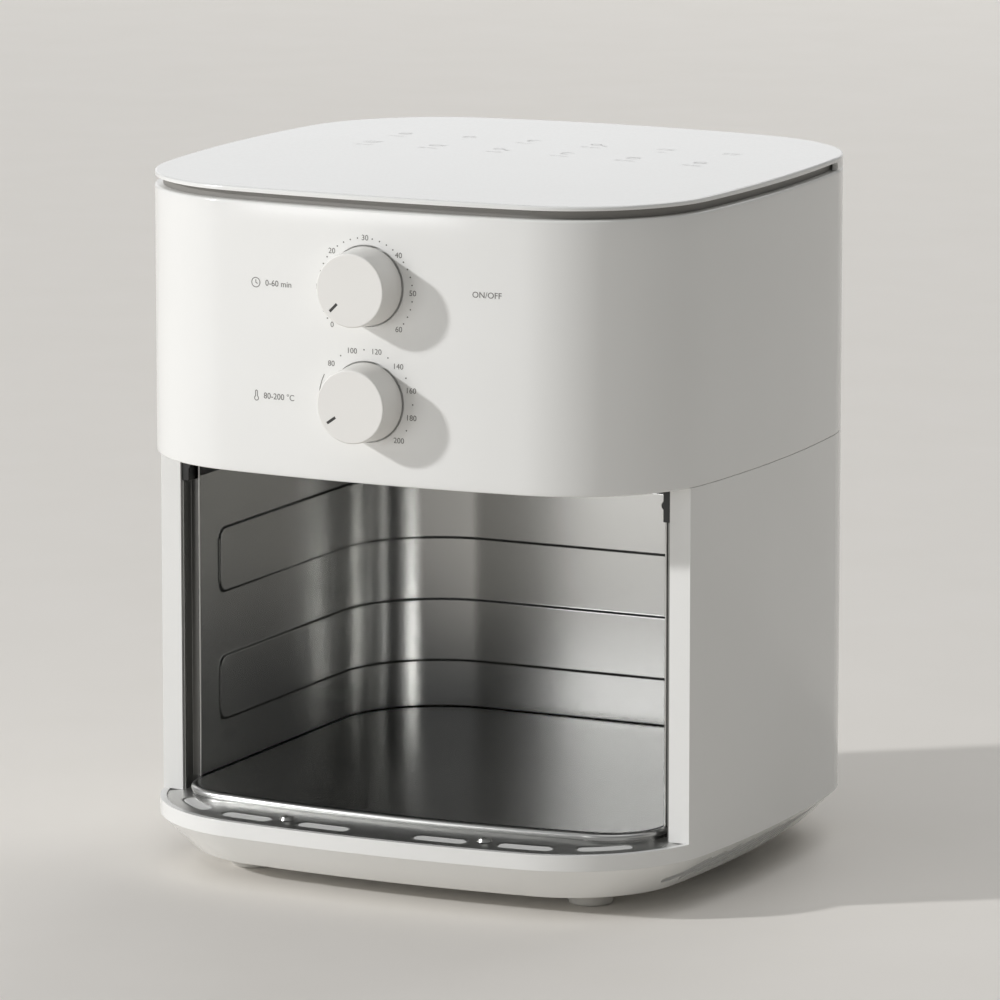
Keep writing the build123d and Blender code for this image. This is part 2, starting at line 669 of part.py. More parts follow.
def heater_guard():
    """The slotted guard under the heating element."""
    plate = rod(0, FAN_Y, DECK_Z, GUARD_TOP_Z, CUP_RADIUS + CUP_FLANGE)
    ring_step = (CUP_RADIUS - GUARD_EDGE_GAP - GUARD_CORE) / (GUARD_RING_COUNT - 1)
    for number in range(GUARD_RING_COUNT):
        radius = GUARD_CORE + number * ring_step
        count = GUARD_FIRST_COUNT + number * GUARD_ADDED_COUNT
        sweep = 360 / count - math.degrees(GUARD_WEB / radius)
        slot = SlotArc(CenterArc((0, 0), radius, 0, sweep - math.degrees(GUARD_SLOT / radius)), GUARD_SLOT)
        cutter = extrude(slot, THIN_SHEET)
        for place in PolarLocations(0, count):
            plate -= Pos(0, FAN_Y, DECK_Z) * place * cutter
    return plate


def coil_ends():
    """Where the two turned-up ends of the heating element rise."""
    return (COIL_FIRST_X, FAN_Y - COIL_BEND), (COIL_LAST_X, FAN_Y + COIL_BEND)


def heating_element():
    """A steel tube in two flat turns, built from half turns about two centres."""
    (first_x, first_y), (last_x, last_y) = coil_ends()
    top = CUP_TOP_Z + COIL_TAIL
    bend = COIL_BEND * (1 - math.sqrt(0.5))
    path = [Line((first_x, first_y, top), (first_x, first_y, COIL_Z + COIL_BEND))]
    path.append(ThreePointArc(
        (first_x, first_y, COIL_Z + COIL_BEND),
        (first_x, first_y + bend, COIL_Z + bend),
        (first_x, FAN_Y, COIL_Z)))
    x = first_x
    side = 1
    radius = COIL_FIRST_X + COIL_STEP / 2
    for turn in range(COIL_HALF_TURNS):
        centre_x = x - side * radius
        path.append(ThreePointArc(
            (x, FAN_Y, COIL_Z),
            (centre_x, FAN_Y + side * radius, COIL_Z),
            (centre_x - side * radius, FAN_Y, COIL_Z)))
        x = centre_x - side * radius
        side = -side
        radius += COIL_STEP
    path.append(ThreePointArc(
        (last_x, FAN_Y, COIL_Z),
        (last_x, last_y - bend, COIL_Z + bend),
        (last_x, last_y, COIL_Z + COIL_BEND)))
    path.append(Line((last_x, last_y, COIL_Z + COIL_BEND), (last_x, last_y, top)))
    section = Plane(origin=(first_x, first_y, top), z_dir=(0, 0, -1)) * Circle(TUBE_RADIUS)
    return sweep(section, path=Wire(path))


def heat_shield():
    """The pressed steel cup over the heating element and the hot-air fan."""
    cup = rod(0, FAN_Y, GUARD_TOP_Z, CUP_TOP_Z, CUP_RADIUS)
    cup = fillet(cup.edges().group_by(Axis.Z)[-1], CUP_ROUND)
    hollow = rod(0, FAN_Y, GUARD_TOP_Z, CUP_TOP_Z - THIN_SHEET, CUP_RADIUS - THIN_SHEET)
    cup -= fillet(hollow.edges().group_by(Axis.Z)[-1], CUP_ROUND - THIN_SHEET)
    rim = rod(0, FAN_Y, GUARD_TOP_Z, GUARD_TOP_Z + THIN_SHEET, CUP_RADIUS + CUP_FLANGE)
    cup += rim - rod(0, FAN_Y, GUARD_TOP_Z, GUARD_TOP_Z + THIN_SHEET, CUP_RADIUS - THIN_SHEET)
    cup -= rod(0, FAN_Y, GUARD_TOP_Z, CUP_TOP_Z, 2 * SHAFT_RADIUS)
    for x, y in coil_ends():
        cup -= rod(x, y, GUARD_TOP_Z, CUP_TOP_Z, TUBE_RADIUS + FIT)
    cup -= rod(0, BULB_Y, GUARD_TOP_Z + CUP_HEIGHT / 2, CUP_TOP_Z, BULB_RADIUS + FIT)
    cup -= block(
        -DUCT_HALF_WIDTH - FIT, DUCT_HALF_WIDTH + FIT, FAN_Y, FAR,
        DUCT_BOTTOM_Z - FIT, DUCT_TOP_Z + FIT)
    return cup


def exhaust_duct():
    """The short steel duct from the heat shield to the rear outlet."""
    front = FAN_Y + CUP_RADIUS - 2 * CUP_FLANGE
    back = BACK_Y - WALL - SEAT - 2 * BASE_WALL
    outside = block(-DUCT_HALF_WIDTH, DUCT_HALF_WIDTH, front, back, DUCT_BOTTOM_Z, DUCT_TOP_Z)
    inside = block(
        THIN_SHEET - DUCT_HALF_WIDTH, DUCT_HALF_WIDTH - THIN_SHEET, front, back,
        DUCT_BOTTOM_Z + THIN_SHEET, DUCT_TOP_Z - THIN_SHEET)
    return outside - inside


def rear_grille():
    """The slotted outlet cover, flush with the rear wall, held by a flange inside it."""
    half = OUTLET_HALF_WIDTH - SEAT
    cover = ring(0, WALL + SEAT, OUTLET_BOTTOM_Z + SEAT, OUTLET_TOP_Z - SEAT)
    cover &= block(-half, half, 0, FAR, OUTLET_BOTTOM_Z, OUTLET_TOP_Z)
    wide = OUTLET_HALF_WIDTH + OUTLET_FLANGE
    low = OUTLET_BOTTOM_Z - OUTLET_FLANGE + FIT
    high = OUTLET_TOP_Z + OUTLET_FLANGE
    flange = ring(WALL + SEAT, WALL + SEAT + BASE_WALL, low, high) & block(-wide, wide, 0, FAR, low, high)
    grille = cover + flange
    pitch = (OUTLET_TOP_Z - OUTLET_BOTTOM_Z - 2 * OUTLET_BORDER) / OUTLET_SLATS
    half_slot = OUTLET_HALF_WIDTH - OUTLET_BORDER
    for number in range(OUTLET_SLATS):
        middle = OUTLET_BOTTOM_Z + OUTLET_BORDER + (number + 0.5) * pitch
        grille -= block(-half_slot, half_slot, 0, FAR, middle - OUTLET_SLOT / 2, middle + OUTLET_SLOT / 2)
    return grille


def cord_gland():
    """The bush where the supply cord enters at the rear."""
    sleeve = front_rod(0, GLAND_Z, BACK_Y - WALL - GLAND_PROUD, BACK_Y + GLAND_PROUD, GLAND_RADIUS)
    flange = front_rod(0, GLAND_Z, BACK_Y + SEAT, BACK_Y + GLAND_PROUD, GLAND_RADIUS + GLAND_FLANGE)
    bore = front_rod(0, GLAND_Z, BACK_Y - 2 * WALL, BACK_Y + 2 * WALL, GLAND_BORE)
    return sleeve + flange - bore


def hub_and_blades(bottom, height, radius, count, hand):
    """A fan: a plate, a hub and curved blades that stand on the plate."""
    fan = Cylinder(radius, FAN_PLATE, align=(Align.CENTER, Align.CENTER, Align.MIN))
    fan += Cylinder(FAN_HUB, height, align=(Align.CENTER, Align.CENTER, Align.MIN))
    curve = Circle(BLADE_CURVE + FAN_BLADE / 2) - Circle(BLADE_CURVE - FAN_BLADE / 2)
    bent = Pos(hand * BLADE_CURVE, 0) * curve
    reach = Circle(radius - BLADE_SETBACK) - Circle(FAN_HUB - FAN_BLADE)
    one_side = Pos(0, radius / 2) * Rectangle(2 * radius, radius)
    blade = extrude(bent & reach & one_side, height)
    for place in PolarLocations(0, count):
        fan += place * blade
    fan -= Cylinder(SHAFT_RADIUS, 4 * height)
    return Pos(0, FAN_Y, bottom) * fan


def hot_air_fan():
    """The fan that drives hot air round the bay; its blades hang below the plate."""
    fan = hub_and_blades(0, HOT_FAN_HEIGHT, HOT_FAN_RADIUS, HOT_FAN_BLADES, 1)
    turned = Pos(0, FAN_Y, 0) * Rot(180, 0, 0) * Pos(0, -FAN_Y, 0) * fan
    return Pos(0, 0, HOT_FAN_Z + HOT_FAN_HEIGHT) * turned


def cooling_fan():
    """The fan that draws cool air over the motor."""
    return hub_and_blades(COOL_FAN_Z, COOL_FAN_HEIGHT, COOL_FAN_RADIUS, COOL_FAN_BLADES, -1)


def motor_shaft():
    """The upright shaft that carries both fans."""
    return rod(0, FAN_Y, HOT_FAN_Z - NUT_HEIGHT, MOTOR_Z + MOTOR_HEIGHT, SHAFT_RADIUS)


def fan_nut():
    """The nut under the hot-air fan."""
    nut = extrude(RegularPolygon(NUT_RADIUS, 6), NUT_HEIGHT) - Cylinder(SHAFT_RADIUS, 4 * NUT_HEIGHT)
    return Pos(0, FAN_Y, HOT_FAN_Z - NUT_HEIGHT) * nut


def motor_body():
    """The motor's can, bored for the shaft and its two bushes."""
    top = MOTOR_Z + MOTOR_HEIGHT
    can = rod(0, FAN_Y, MOTOR_Z, top, MOTOR_RADIUS)
    can = fillet(can.edges().group_by(Axis.Z)[-1], MOTOR_ROUND)
    can -= rod(0, FAN_Y, MOTOR_Z, top, SHAFT_RADIUS + FIT)
    can -= rod(0, FAN_Y, MOTOR_Z, MOTOR_Z + BUSH_HEIGHT, BUSH_RADIUS)
    return can - rod(0, FAN_Y, top - BUSH_HEIGHT, top, BUSH_RADIUS)


def motor_bushes():
    """The two plain bearings of the motor shaft."""
    top = MOTOR_Z + MOTOR_HEIGHT
    bushes = []
    for bottom in (MOTOR_Z, top - BUSH_HEIGHT):
        bush = rod(0, FAN_Y, bottom, bottom + BUSH_HEIGHT, BUSH_RADIUS)
        bushes.append(bush - rod(0, FAN_Y, bottom, bottom + BUSH_HEIGHT, SHAFT_RADIUS + RUNNING))
    return Compound(bushes)


def motor_bridge():
    """The folded bridge that carries the motor over the heat shield."""
    front = FAN_Y - BRIDGE_WIDTH / 2
    back = FAN_Y + BRIDGE_WIDTH / 2
    bridge = block(-BRIDGE_LEG_X, BRIDGE_LEG_X, front, back, BRIDGE_Z, MOTOR_Z)
    for side in (-1, 1):
        leg_x = side * BRIDGE_LEG_X
        toe_x = side * BRIDGE_TOE_X
        bridge += block(leg_x - side * BRIDGE_SHEET, leg_x, front, back, DECK_Z, MOTOR_Z)
        bridge += block(leg_x, toe_x, front, back, DECK_Z, DECK_Z + BRIDGE_SHEET)
    for x, y in bridge_screw_places():
        bridge -= rod(x, y, DECK_Z, DECK_Z + BRIDGE_SHEET, SCREW_RADIUS + SEAT)
    return bridge - rod(0, FAN_Y, BRIDGE_Z, MOTOR_Z, 2 * SHAFT_RADIUS)


def bridge_screw_places():
    """Where the bridge's four screws stand."""
    foot_x = (BRIDGE_LEG_X + BRIDGE_TOE_X) / 2
    reach = BRIDGE_WIDTH / 2 - BOSS_MARGIN
    return [(x * foot_x, FAN_Y + y * reach) for x in (-1, 1) for y in (-1, 1)]


def bridge_screws():
    """Four screws that hold the bridge on the partition."""
    seat = DECK_Z + BRIDGE_SHEET
    screws = []
    for x, y in bridge_screw_places():
        head = rod(x, y, seat, seat + SCREW_HEAD_HEIGHT, SCREW_HEAD_RADIUS)
        screws.append(head + rod(x, y, DECK_Z, seat, SCREW_RADIUS))
    return Compound(screws)


def spindle_flat(length):
    """The flat on a spindle's front end, as a cutter in the knob's own frame."""
    return Pos(0, SPINDLE_RADIUS * 1.5, length / 2) * Box(4 * SPINDLE_RADIUS, SPINDLE_RADIUS * 1.5, length)


def pointer_bar(angle, depth, clearance=0.0):
    """The pointer's bar on the knob's face, in the knob's own frame."""
    bar = Box(POINTER_LENGTH + 2 * clearance, POINTER_WIDTH + 2 * clearance, depth)
    return Pos(0, 0, KNOB_LENGTH - depth / 2) * Rot(0, 0, angle) * Pos(POINTER_RADIUS, 0, 0) * bar


def knob(z, angle):
    """A hollow, slightly tapered knob with a socket for its spindle and a slot for its pointer."""
    low = (Align.CENTER, Align.CENTER, Align.MIN)
    body = Cone(KNOB_BASE_RADIUS, KNOB_FACE_RADIUS, KNOB_LENGTH, align=low)
    body = fillet(body.edges().group_by(Axis.Z)[-1], KNOB_ROUND)
    depth = KNOB_LENGTH - KNOB_WALL
    body -= Cone(KNOB_BASE_RADIUS - KNOB_WALL, KNOB_FACE_RADIUS - KNOB_WALL, depth, align=low)
    body += Cylinder(KNOB_HUB_RADIUS, depth, align=low)
    body -= Cylinder(SPINDLE_RADIUS, SPINDLE_GRIP, align=low) - spindle_flat(SPINDLE_GRIP)
    body -= pointer_bar(angle, POINTER_DEPTH, SEAT / 2)
    return facing_front(0, KNOB_BASE_Y, z) * body


def pointer(z, angle):
    """The dark bar let into a knob's face."""
    return facing_front(0, KNOB_BASE_Y, z) * pointer_bar(angle, POINTER_DEPTH)


def spindle(z):
    """A knob's spindle, from its socket back into the unit behind the bracket."""
    low = (Align.CENTER, Align.CENTER, Align.MIN)
    back = CONTROL_Y + SPINDLE_REAR - KNOB_BASE_Y
    front_end = Cylinder(SPINDLE_RADIUS, SPINDLE_GRIP, align=low) - spindle_flat(SPINDLE_GRIP)
    rear = Pos(0, 0, -back) * Cylinder(SPINDLE_RADIUS, back, align=low)
    return facing_front(0, KNOB_BASE_Y, z) * (front_end + rear)


def control_bracket():
    """The steel plate behind the front that carries the timer and the thermostat."""
    plate = block(
        -BRACKET_HALF_WIDTH, BRACKET_HALF_WIDTH, BRACKET_Y, CONTROL_Y,
        BRACKET_BOTTOM_Z, BRACKET_TOP_Z)
    for z in (TIMER_Z, THERMOSTAT_Z):
        plate -= front_rod(0, z, BRACKET_Y, CONTROL_Y, SPINDLE_HOLE)
    for x, z in bracket_boss_places():
        plate -= front_rod(x, z, BRACKET_Y, CONTROL_Y, SCREW_RADIUS + SEAT)
    return plate


def bracket_screws():
    """Four screws that hold the bracket on the front's bosses."""
    screws = []
    for x, z in bracket_boss_places():
        head = front_rod(x, z, CONTROL_Y, CONTROL_Y + SCREW_HEAD_HEIGHT, SCREW_HEAD_RADIUS)
        screws.append(head + front_rod(x, z, front_y(x, WALL), CONTROL_Y, SCREW_RADIUS))
    return Compound(screws)


def control_case(size, z):
    """A control unit's case behind the bracket, bored for its spindle."""
    width, depth, height = size
    case = block(-width / 2, width / 2, CONTROL_Y, CONTROL_Y + depth, z - height / 2, z + height / 2)
    case = fillet(case.edges().filter_by(Axis.Y), TIMER_ROUND)
    return case - front_rod(0, z, CONTROL_Y, CONTROL_Y + SPINDLE_REAR + FIT, SPINDLE_RADIUS + RUNNING)


def timer_bell():
    """The bell cup behind the timer."""
    back = CONTROL_Y + TIMER_SIZE[1]
    bell = front_rod(0, TIMER_Z, back, back + BELL_DEPTH, BELL_RADIUS)
    return fillet(bell.edges().group_by(Axis.Y)[-1], BELL_DEPTH / 2)


def sensing_bulb():
    """The thermostat's bulb in the hot air and the fine tube that leads to it."""
    start_y = CONTROL_Y + THERMOSTAT_SIZE[1]
    bulb_top = CUP_TOP_Z + BULB_LENGTH - BULB_DROP
    over = bulb_top + CAPILLARY_RISE
    turn_y = start_y + 2 * CAPILLARY_BEND
    path = FilletPolyline(
        (0, start_y, THERMOSTAT_Z), (0, turn_y, THERMOSTAT_Z), (0, turn_y, over),
        (0, BULB_Y, over), (0, BULB_Y, bulb_top), radius=CAPILLARY_BEND)
    section = Plane(origin=(0, start_y, THERMOSTAT_Z), z_dir=(0, 1, 0)) * Circle(CAPILLARY_RADIUS)
    return sweep(section, path=path) + rod(0, BULB_Y, bulb_top - BULB_LENGTH, bulb_top, BULB_RADIUS)


def indicator_lamp():
    """The small lamp behind the front panel."""
    front = front_y(LAMP_X, WALL) + FIT
    holder_front = front + LAMP_LENGTH / 2
    lamp = front_rod(LAMP_X, LAMP_Z, front, front + LAMP_LENGTH, LAMP_RADIUS)
    return lamp + front_rod(LAMP_X, LAMP_Z, holder_front, front + LAMP_LENGTH, LAMP_RADIUS + THIN_SHEET)


def lever_pivot_y():
    """The drawer switch lever's pivot, just in front of the switch."""
    return SWITCH_BACK_Y - SWITCH_SIZE[1] - LEVER_EYE_RADIUS - FIT


def drawer_switch():
    """The switch that the drawer's lever works, with two ears for the lever's pin."""
    width, depth, height = SWITCH_SIZE
    front = SWITCH_BACK_Y - depth
    body = block(SWITCH_X - width / 2, SWITCH_X + width / 2, front, SWITCH_BACK_Y, DECK_Z, DECK_Z + height)
    pivot_y = lever_pivot_y()
    pivot_z = DECK_Z + LEVER_PIVOT_LIFT
    ear_from = LEVER_WIDTH / 2 + FIT
    for side in (-1, 1):
        ear = block(
            SWITCH_X + side * ear_from, SWITCH_X + side * width / 2, pivot_y - LEVER_EYE_RADIUS, front,
            DECK_Z, pivot_z + LEVER_EYE_RADIUS)
        body += ear
    pin_hole = Rot(0, 90, 0) * Cylinder(LEVER_PIN_RADIUS + RUNNING, 2 * width)
    return body - Pos(SWITCH_X, pivot_y, pivot_z) * pin_hole


def switch_lever():
    """The sprung lever that hangs through the partition, with its pin."""
    pivot = Pos(SWITCH_X, lever_pivot_y(), DECK_Z + LEVER_PIVOT_LIFT)
    across = Rot(0, 90, 0)
    eye = across * Cylinder(LEVER_EYE_RADIUS, LEVER_WIDTH)
    drop = LEVER_PIVOT_LIFT + PARTITION + LEVER_DROP
    arm = Pos(0, -LEVER_THICKNESS / 2, -drop / 2) * Box(LEVER_WIDTH, LEVER_THICKNESS, drop)
    pin = across * Cylinder(LEVER_PIN_RADIUS, SWITCH_SIZE[0])
    return pivot * (eye + arm + pin)


def terminal_block():
    """The block where the supply wires join, on the partition."""
    width, depth, height = TERMINAL_SIZE
    left = TERMINAL_SIDE_GAP - BODY_WIDTH / 2 - width / 2
    y = FRONT_Y + TERMINAL_FRONT_GAP
    body = block(left, left + width, y - depth / 2, y + depth / 2, DECK_Z, DECK_Z + height)
    pitch = width / TERMINAL_WAYS
    for number in range(TERMINAL_WAYS):
        x = left + (number + 0.5) * pitch
        body -= rod(x, y, DECK_Z + height / 2, DECK_Z + height, SCREW_HEAD_RADIUS)
    return body


def thermal_cutout():
    """The safety cut-out that sits on the heat shield."""
    reach = CUP_RADIUS - CUTOUT_EDGE_GAP
    x = reach * math.cos(math.radians(CUTOUT_ANGLE))
    y = FAN_Y + reach * math.sin(math.radians(CUTOUT_ANGLE))
    return rod(x, y, CUP_TOP_Z, CUP_TOP_Z + CUTOUT_HEIGHT, CUTOUT_RADIUS)


def all_parts():
    """Every piece by its node's name."""
    parts = {
        "base_pan": base_pan(),
        "base_screws": base_screws(),
        "lower_housing": lower_housing(),
        "sill_plate": sill_plate(),
        "sill_screws": sill_screws(),
        "cavity_floor": cavity_floor(),
        "cavity_liner": cavity_liner(),
        "left_side_channel": side_channel(-1),
        "right_side_channel": side_channel(1),
        "left_drawer_catch": drawer_catch(-1),
        "right_drawer_catch": drawer_catch(1),
        "upper_housing": upper_housing(),
        "top_collar": top_collar(),
        "top_cover": top_cover(),
        "partition_plate": partition_plate(),
        "heater_guard": heater_guard(),
        "heating_element": heating_element(),
        "heat_shield": heat_shield(),
        "exhaust_duct": exhaust_duct(),
        "rear_grille": rear_grille(),
        "cord_gland": cord_gland(),
        "hot_air_fan": hot_air_fan(),
        "cooling_fan": cooling_fan(),
        "motor_shaft": motor_shaft(),
        "fan_nut": fan_nut(),
        "motor_body": motor_body(),
        "motor_bushes": motor_bushes(),
        "motor_bridge": motor_bridge(),
        "bridge_screws": bridge_screws(),
        "timer_knob": knob(TIMER_Z, TIMER_REST_ANGLE),
        "timer_pointer": pointer(TIMER_Z, TIMER_REST_ANGLE),
        "timer_spindle": spindle(TIMER_Z),
        "timer_body": control_case(TIMER_SIZE, TIMER_Z),
        "timer_bell": timer_bell(),
        "temperature_knob": knob(THERMOSTAT_Z, THERMOSTAT_REST_ANGLE),
        "temperature_pointer": pointer(THERMOSTAT_Z, THERMOSTAT_REST_ANGLE),
        "thermostat_spindle": spindle(THERMOSTAT_Z),
        "thermostat_body": control_case(THERMOSTAT_SIZE, THERMOSTAT_Z),
        "sensing_bulb": sensing_bulb(),
        "control_bracket": control_bracket(),
        "bracket_screws": bracket_screws(),
        "indicator_lamp": indicator_lamp(),
        "drawer_switch": drawer_switch(),
        "switch_lever": switch_lever(),
        "terminal_block": terminal_block(),
        "thermal_cutout": thermal_cutout(),
    }
    for x_name, x_sign in (("left", -1), ("right", 1)):
        for y_name, y_sign in (("front", -1), ("rear", 1)):
            parts[f"foot_{y_name}_{x_name}"] = foot(x_sign, y_sign)
    return parts


os.makedirs("parts", exist_ok=True)
for name, shape in all_parts().items():
    export_step(Pos(0, CENTRE_SHIFT, 0) * shape, f"parts/{name}.step")
print(f"origin lies {CENTRE_SHIFT:.3f} mm in front of the outline's centre")
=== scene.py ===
import math

import bmesh
import bpy
from mathutils import Matrix, Vector


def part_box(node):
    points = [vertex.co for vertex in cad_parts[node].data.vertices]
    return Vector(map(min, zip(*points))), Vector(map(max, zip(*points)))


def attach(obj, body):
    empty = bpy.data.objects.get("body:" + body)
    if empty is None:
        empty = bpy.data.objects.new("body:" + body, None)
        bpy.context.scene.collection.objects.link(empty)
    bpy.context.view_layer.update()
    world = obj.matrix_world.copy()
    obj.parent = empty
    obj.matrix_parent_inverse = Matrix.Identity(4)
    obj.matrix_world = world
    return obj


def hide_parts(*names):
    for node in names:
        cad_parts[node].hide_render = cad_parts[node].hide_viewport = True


# Counter-top air fryer with its drawer taken out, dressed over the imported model.
# Metres, +Z up, the front faces -Y, as in the model.

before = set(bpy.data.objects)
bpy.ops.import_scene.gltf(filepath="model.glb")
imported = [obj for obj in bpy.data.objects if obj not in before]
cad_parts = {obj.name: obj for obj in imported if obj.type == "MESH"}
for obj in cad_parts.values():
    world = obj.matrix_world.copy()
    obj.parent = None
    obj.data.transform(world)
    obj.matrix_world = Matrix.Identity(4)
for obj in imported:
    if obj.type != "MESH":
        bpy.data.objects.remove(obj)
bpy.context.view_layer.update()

MM = 0.001
BODY = "fryer_body"

# Body outline: bowed sides joined by corner arcs
SIDE_RADIUS = 640 * MM
CORNER_RADIUS = 64.5 * MM
SPAN_STEP = 8 * MM
TURN_STEP = math.radians(2.5)

# Housing walls and their softened edges
WALL = 2.8 * MM
LIP_HEIGHT = 6.7 * MM
CUT_DEPTH = 50 * MM
FLANGE_DROP = 4.5 * MM
FLANGE_WIDTH = 22 * MM
RIM_FLANGE = 12 * MM
LEDGE_HEIGHT = 1.5 * MM
LEDGE_WIDTH = 2.2 * MM
SEAM_ROUND = 0.7 * MM
RIM_ROUND = 1.0 * MM
INNER_ROUND = 0.3 * MM
LIP_ROUND = 0.7 * MM
SHEET_ROUND = 0.22 * MM
BEVEL_FROM = math.radians(40)

# Steps of rounded edges and sides of round shapes
CORNER_STEPS = 5
BEVEL_STEPS = 3
SLIT_END_STEPS = 8
FOOT_STEPS = 5
LETTER_STEPS = 5
ROD_SIDES = 48
EDGE_SIDES = 24
SCREW_SIDES = 40
FINE_SIDES = 96
THIN_SIDES = 16

# Angles from which edges look sharp, and limits below which points and faces are joined
SHARP = math.radians(32)
SHEET_SHARP = math.radians(60)
SCREW_SHARP = math.radians(35)
MERGE = 0.001 * MM
NODE_MERGE = 0.002 * MM
NODE_FLAT = math.radians(0.5)
ROUNDING = 1e-6

# Openings in the housings
SEAT = 0.1 * MM
OUTLET_FLANGE = 5 * MM
OUTLET_REST = 0.3 * MM
SPINDLE_HOLE = 4.5 * MM
GLAND_FLANGE = 2.5 * MM
KNOB_RECESS_SHOWS = 0.6 * MM
KNOB_RECESS_HIDDEN = 2.0 * MM
KNOB_RECESS_DEPTH = 2.2 * MM
RECESS_MARGIN = 4 * MM
THROUGH = 8 * WALL

# Air slits in the base, drawn wider than the model's so that they show at a glancing angle
BASE_TAPER = 15.6 * MM
SLIT_COUNT = 9
SLIT_PITCH = 13 * MM
SLIT_LENGTH = 30.6 * MM
SLIT_WIDTH = 3.4 * MM
SLIT_SLANT = math.radians(21)
SLIT_CENTRE = -14 * MM
SLIT_CUT = 15 * MM

# Pressed steel liner
SHEET = 1.2 * MM
BAY_CORNER = 48 * MM
BAND_LIFTS = (21.4 * MM, 77.6 * MM)
BAND_HEIGHT = 28 * MM
BAND_DEPTH = 0.8 * MM
BAND_SETBACK = 16 * MM
BAND_ROUND = 5.5 * MM
BAND_SLOPE = 1.1 * MM
FOOT_ROUND = 0.9 * MM

# Spacing of the points on the liner: along flat walls, corners and band ends, then up walls and bands
WALL_STEP = 6 * MM
CORNER_STEP = 2 * MM
NOSE_STEP = 0.6 * MM
LEVEL_STEP = 4 * MM
BAND_STEP = 0.8 * MM
CREASE_STEP = 0.3 * MM

# Slotted sill and the floor's rim, with the spacing of their points
SILL_FIT = 0.3 * MM
SILL_REACH = 27 * MM
SILL_SHEET = 0.4 * MM
SILL_TILT = 2.4 * MM
SLOT_INSET = 11.5 * MM
SLOT_LENGTH = 18.5 * MM
SLOT_WIDTH = 4.6 * MM
SLOT_PLACES = (27.4 * MM, 65.5 * MM)
SLOT_CORNER_TURN = math.radians(40)
SLOT_MARGIN = 1.2 * MM
SLOT_DIP = 0.5 * MM
FLOOR_INSET = 25.5 * MM
FLOOR_CORNER = 26 * MM
RIM_ROLL = 1.6 * MM
RIM_SUNK = 1.0 * MM
RIM_BELOW = 0.2 * MM
RIM_STEP = 2 * MM
RIM_STEP_DEGREES = 4
SILL_STEP = 0.7 * MM
SLOT_STEP = 0.45 * MM
SHELF_STEP = 3 * MM

# Tails of the drawer catches
TAIL_THICK = 0.8 * MM
TAIL_LENGTH = 40 * MM
TAIL_ABOVE = 1.5 * MM

# Screws in the sill
SCREW_INSET = 14 * MM
SCREW_RADIUS = 3.2 * MM
SCREW_TOP = 2.6 * MM
SCREW_HEIGHT = 1.3 * MM
RECESS_WIDTH = 0.9 * MM
RECESS_REACH = 3.6 * MM

# Printed marks on the front and on the crown of the lid
LID_CROWN = 2.2 * MM
INK_LIFT = 0.03 * MM
INK_THICK = 0.03 * MM
LID_INK_LIFT = 0.004 * MM
LID_INK_THICK = 0.005 * MM
DIAL_SHIFT = -0.6 * MM
CAP_SHARE = 0.70
DIGIT_HEIGHT = 2.3 * MM
LABEL_HEIGHT = 2.5 * MM
LABEL_LINE = 0.32 * MM
DOT_RADIUS = 0.32 * MM
ARC_STEP_DEGREES = 8
ARC_LEAST_STEPS = 6
SIGN_X = -52.6 * MM
LABEL_X = -41.6 * MM
LAMP_LABEL_X = 54.2 * MM
LAMP_LABEL_DROP = 0.8 * MM
CLOCK_DROP = 2.2 * MM
CLOCK_RADIUS = 2.0 * MM
GAUGE_DROP = 1.3 * MM
BULB_DROP = 1.2 * MM
BULB_RADIUS = 0.95 * MM
STEM_RISE = 1.6 * MM
STEM_DROP = 0.45 * MM
STEM_RADIUS = 0.48 * MM

# Dials: numbers, angle of the first and step to the next in degrees, and spaces between dots to a step
TIMER_NUMBERS = (0, 10, 20, 30, 40, 50, 60)
TIMER_FIRST = 225
TIMER_STEP = -45
TIMER_DOTS = 5
TIMER_REACH = 21.8 * MM
TIMER_DIAL_DROP = 1.9 * MM
HEAT_NUMBERS = (80, 100, 120, 140, 160, 180, 200)
HEAT_FIRST = 137
HEAT_STEP = -182 / 6
HEAT_DOTS = 2
HEAT_REACH = 21.7 * MM
OFF_ARC = (152, 205)

# Rows of food signs on the lid, with times in minutes
SIGN_SIZE = 9 * MM
SIGN_LINE = 0.5 * MM
SIGN_PITCH = 31.2 * MM
SIGN_FIRST_X = -73 * MM
SIGN_ROWS = (17 * MM, 49 * MM)
SIGN_MINUTES = (12, 15, 18, 20, 25, 30)

# Food signs as arcs (x, y, radius, two angles in degrees) and bars (x, y, x, y), in shares of half a sign
CHIPS = ((), (
    (-0.6, 0, -0.72, 0.8), (-0.2, 0, -0.24, 0.8), (0.2, 0, 0.24, 0.8), (0.6, 0, 0.72, 0.8),
    (-0.8, 0, -0.5, -0.5), (0.8, 0, 0.5, -0.5), (-0.5, -0.5, 0.5, -0.5)))
FISH = (((0, -0.7, 1, 40, 140), (0, 0.6, 1, 220, 320)), ((0.7, 0, 1, -0.4), (0.7, 0, 1, 0.4)))
LEG = (((-0.3, 0.1, 0.5, 0, 360), (0.85, -0.5, 0.15, 0, 360)), ((0.1, 0, 0.8, -0.5),))
PRAWN = (((0, 0, 0.6, 30, 300),), (
    (0, 0.3, 0, 0.6), (-0.2598, 0.15, -0.5196, 0.3), (-0.2598, -0.15, -0.5196, -0.3)))
STEAK = (((0, 0, 0.65, 0, 360), (0, 0, 0.3, 0, 200)), ())
CAKE = (((0, 0, 0.6, 0, 180),), (
    (-0.6, 0, 0.6, 0), (-0.4, -0.5, 0.4, -0.5), (-0.6, 0, -0.4, -0.5), (0.6, 0, 0.4, -0.5)))
FOOD_SIGNS = (CHIPS, FISH, LEG, PRAWN, STEAK, CAKE)

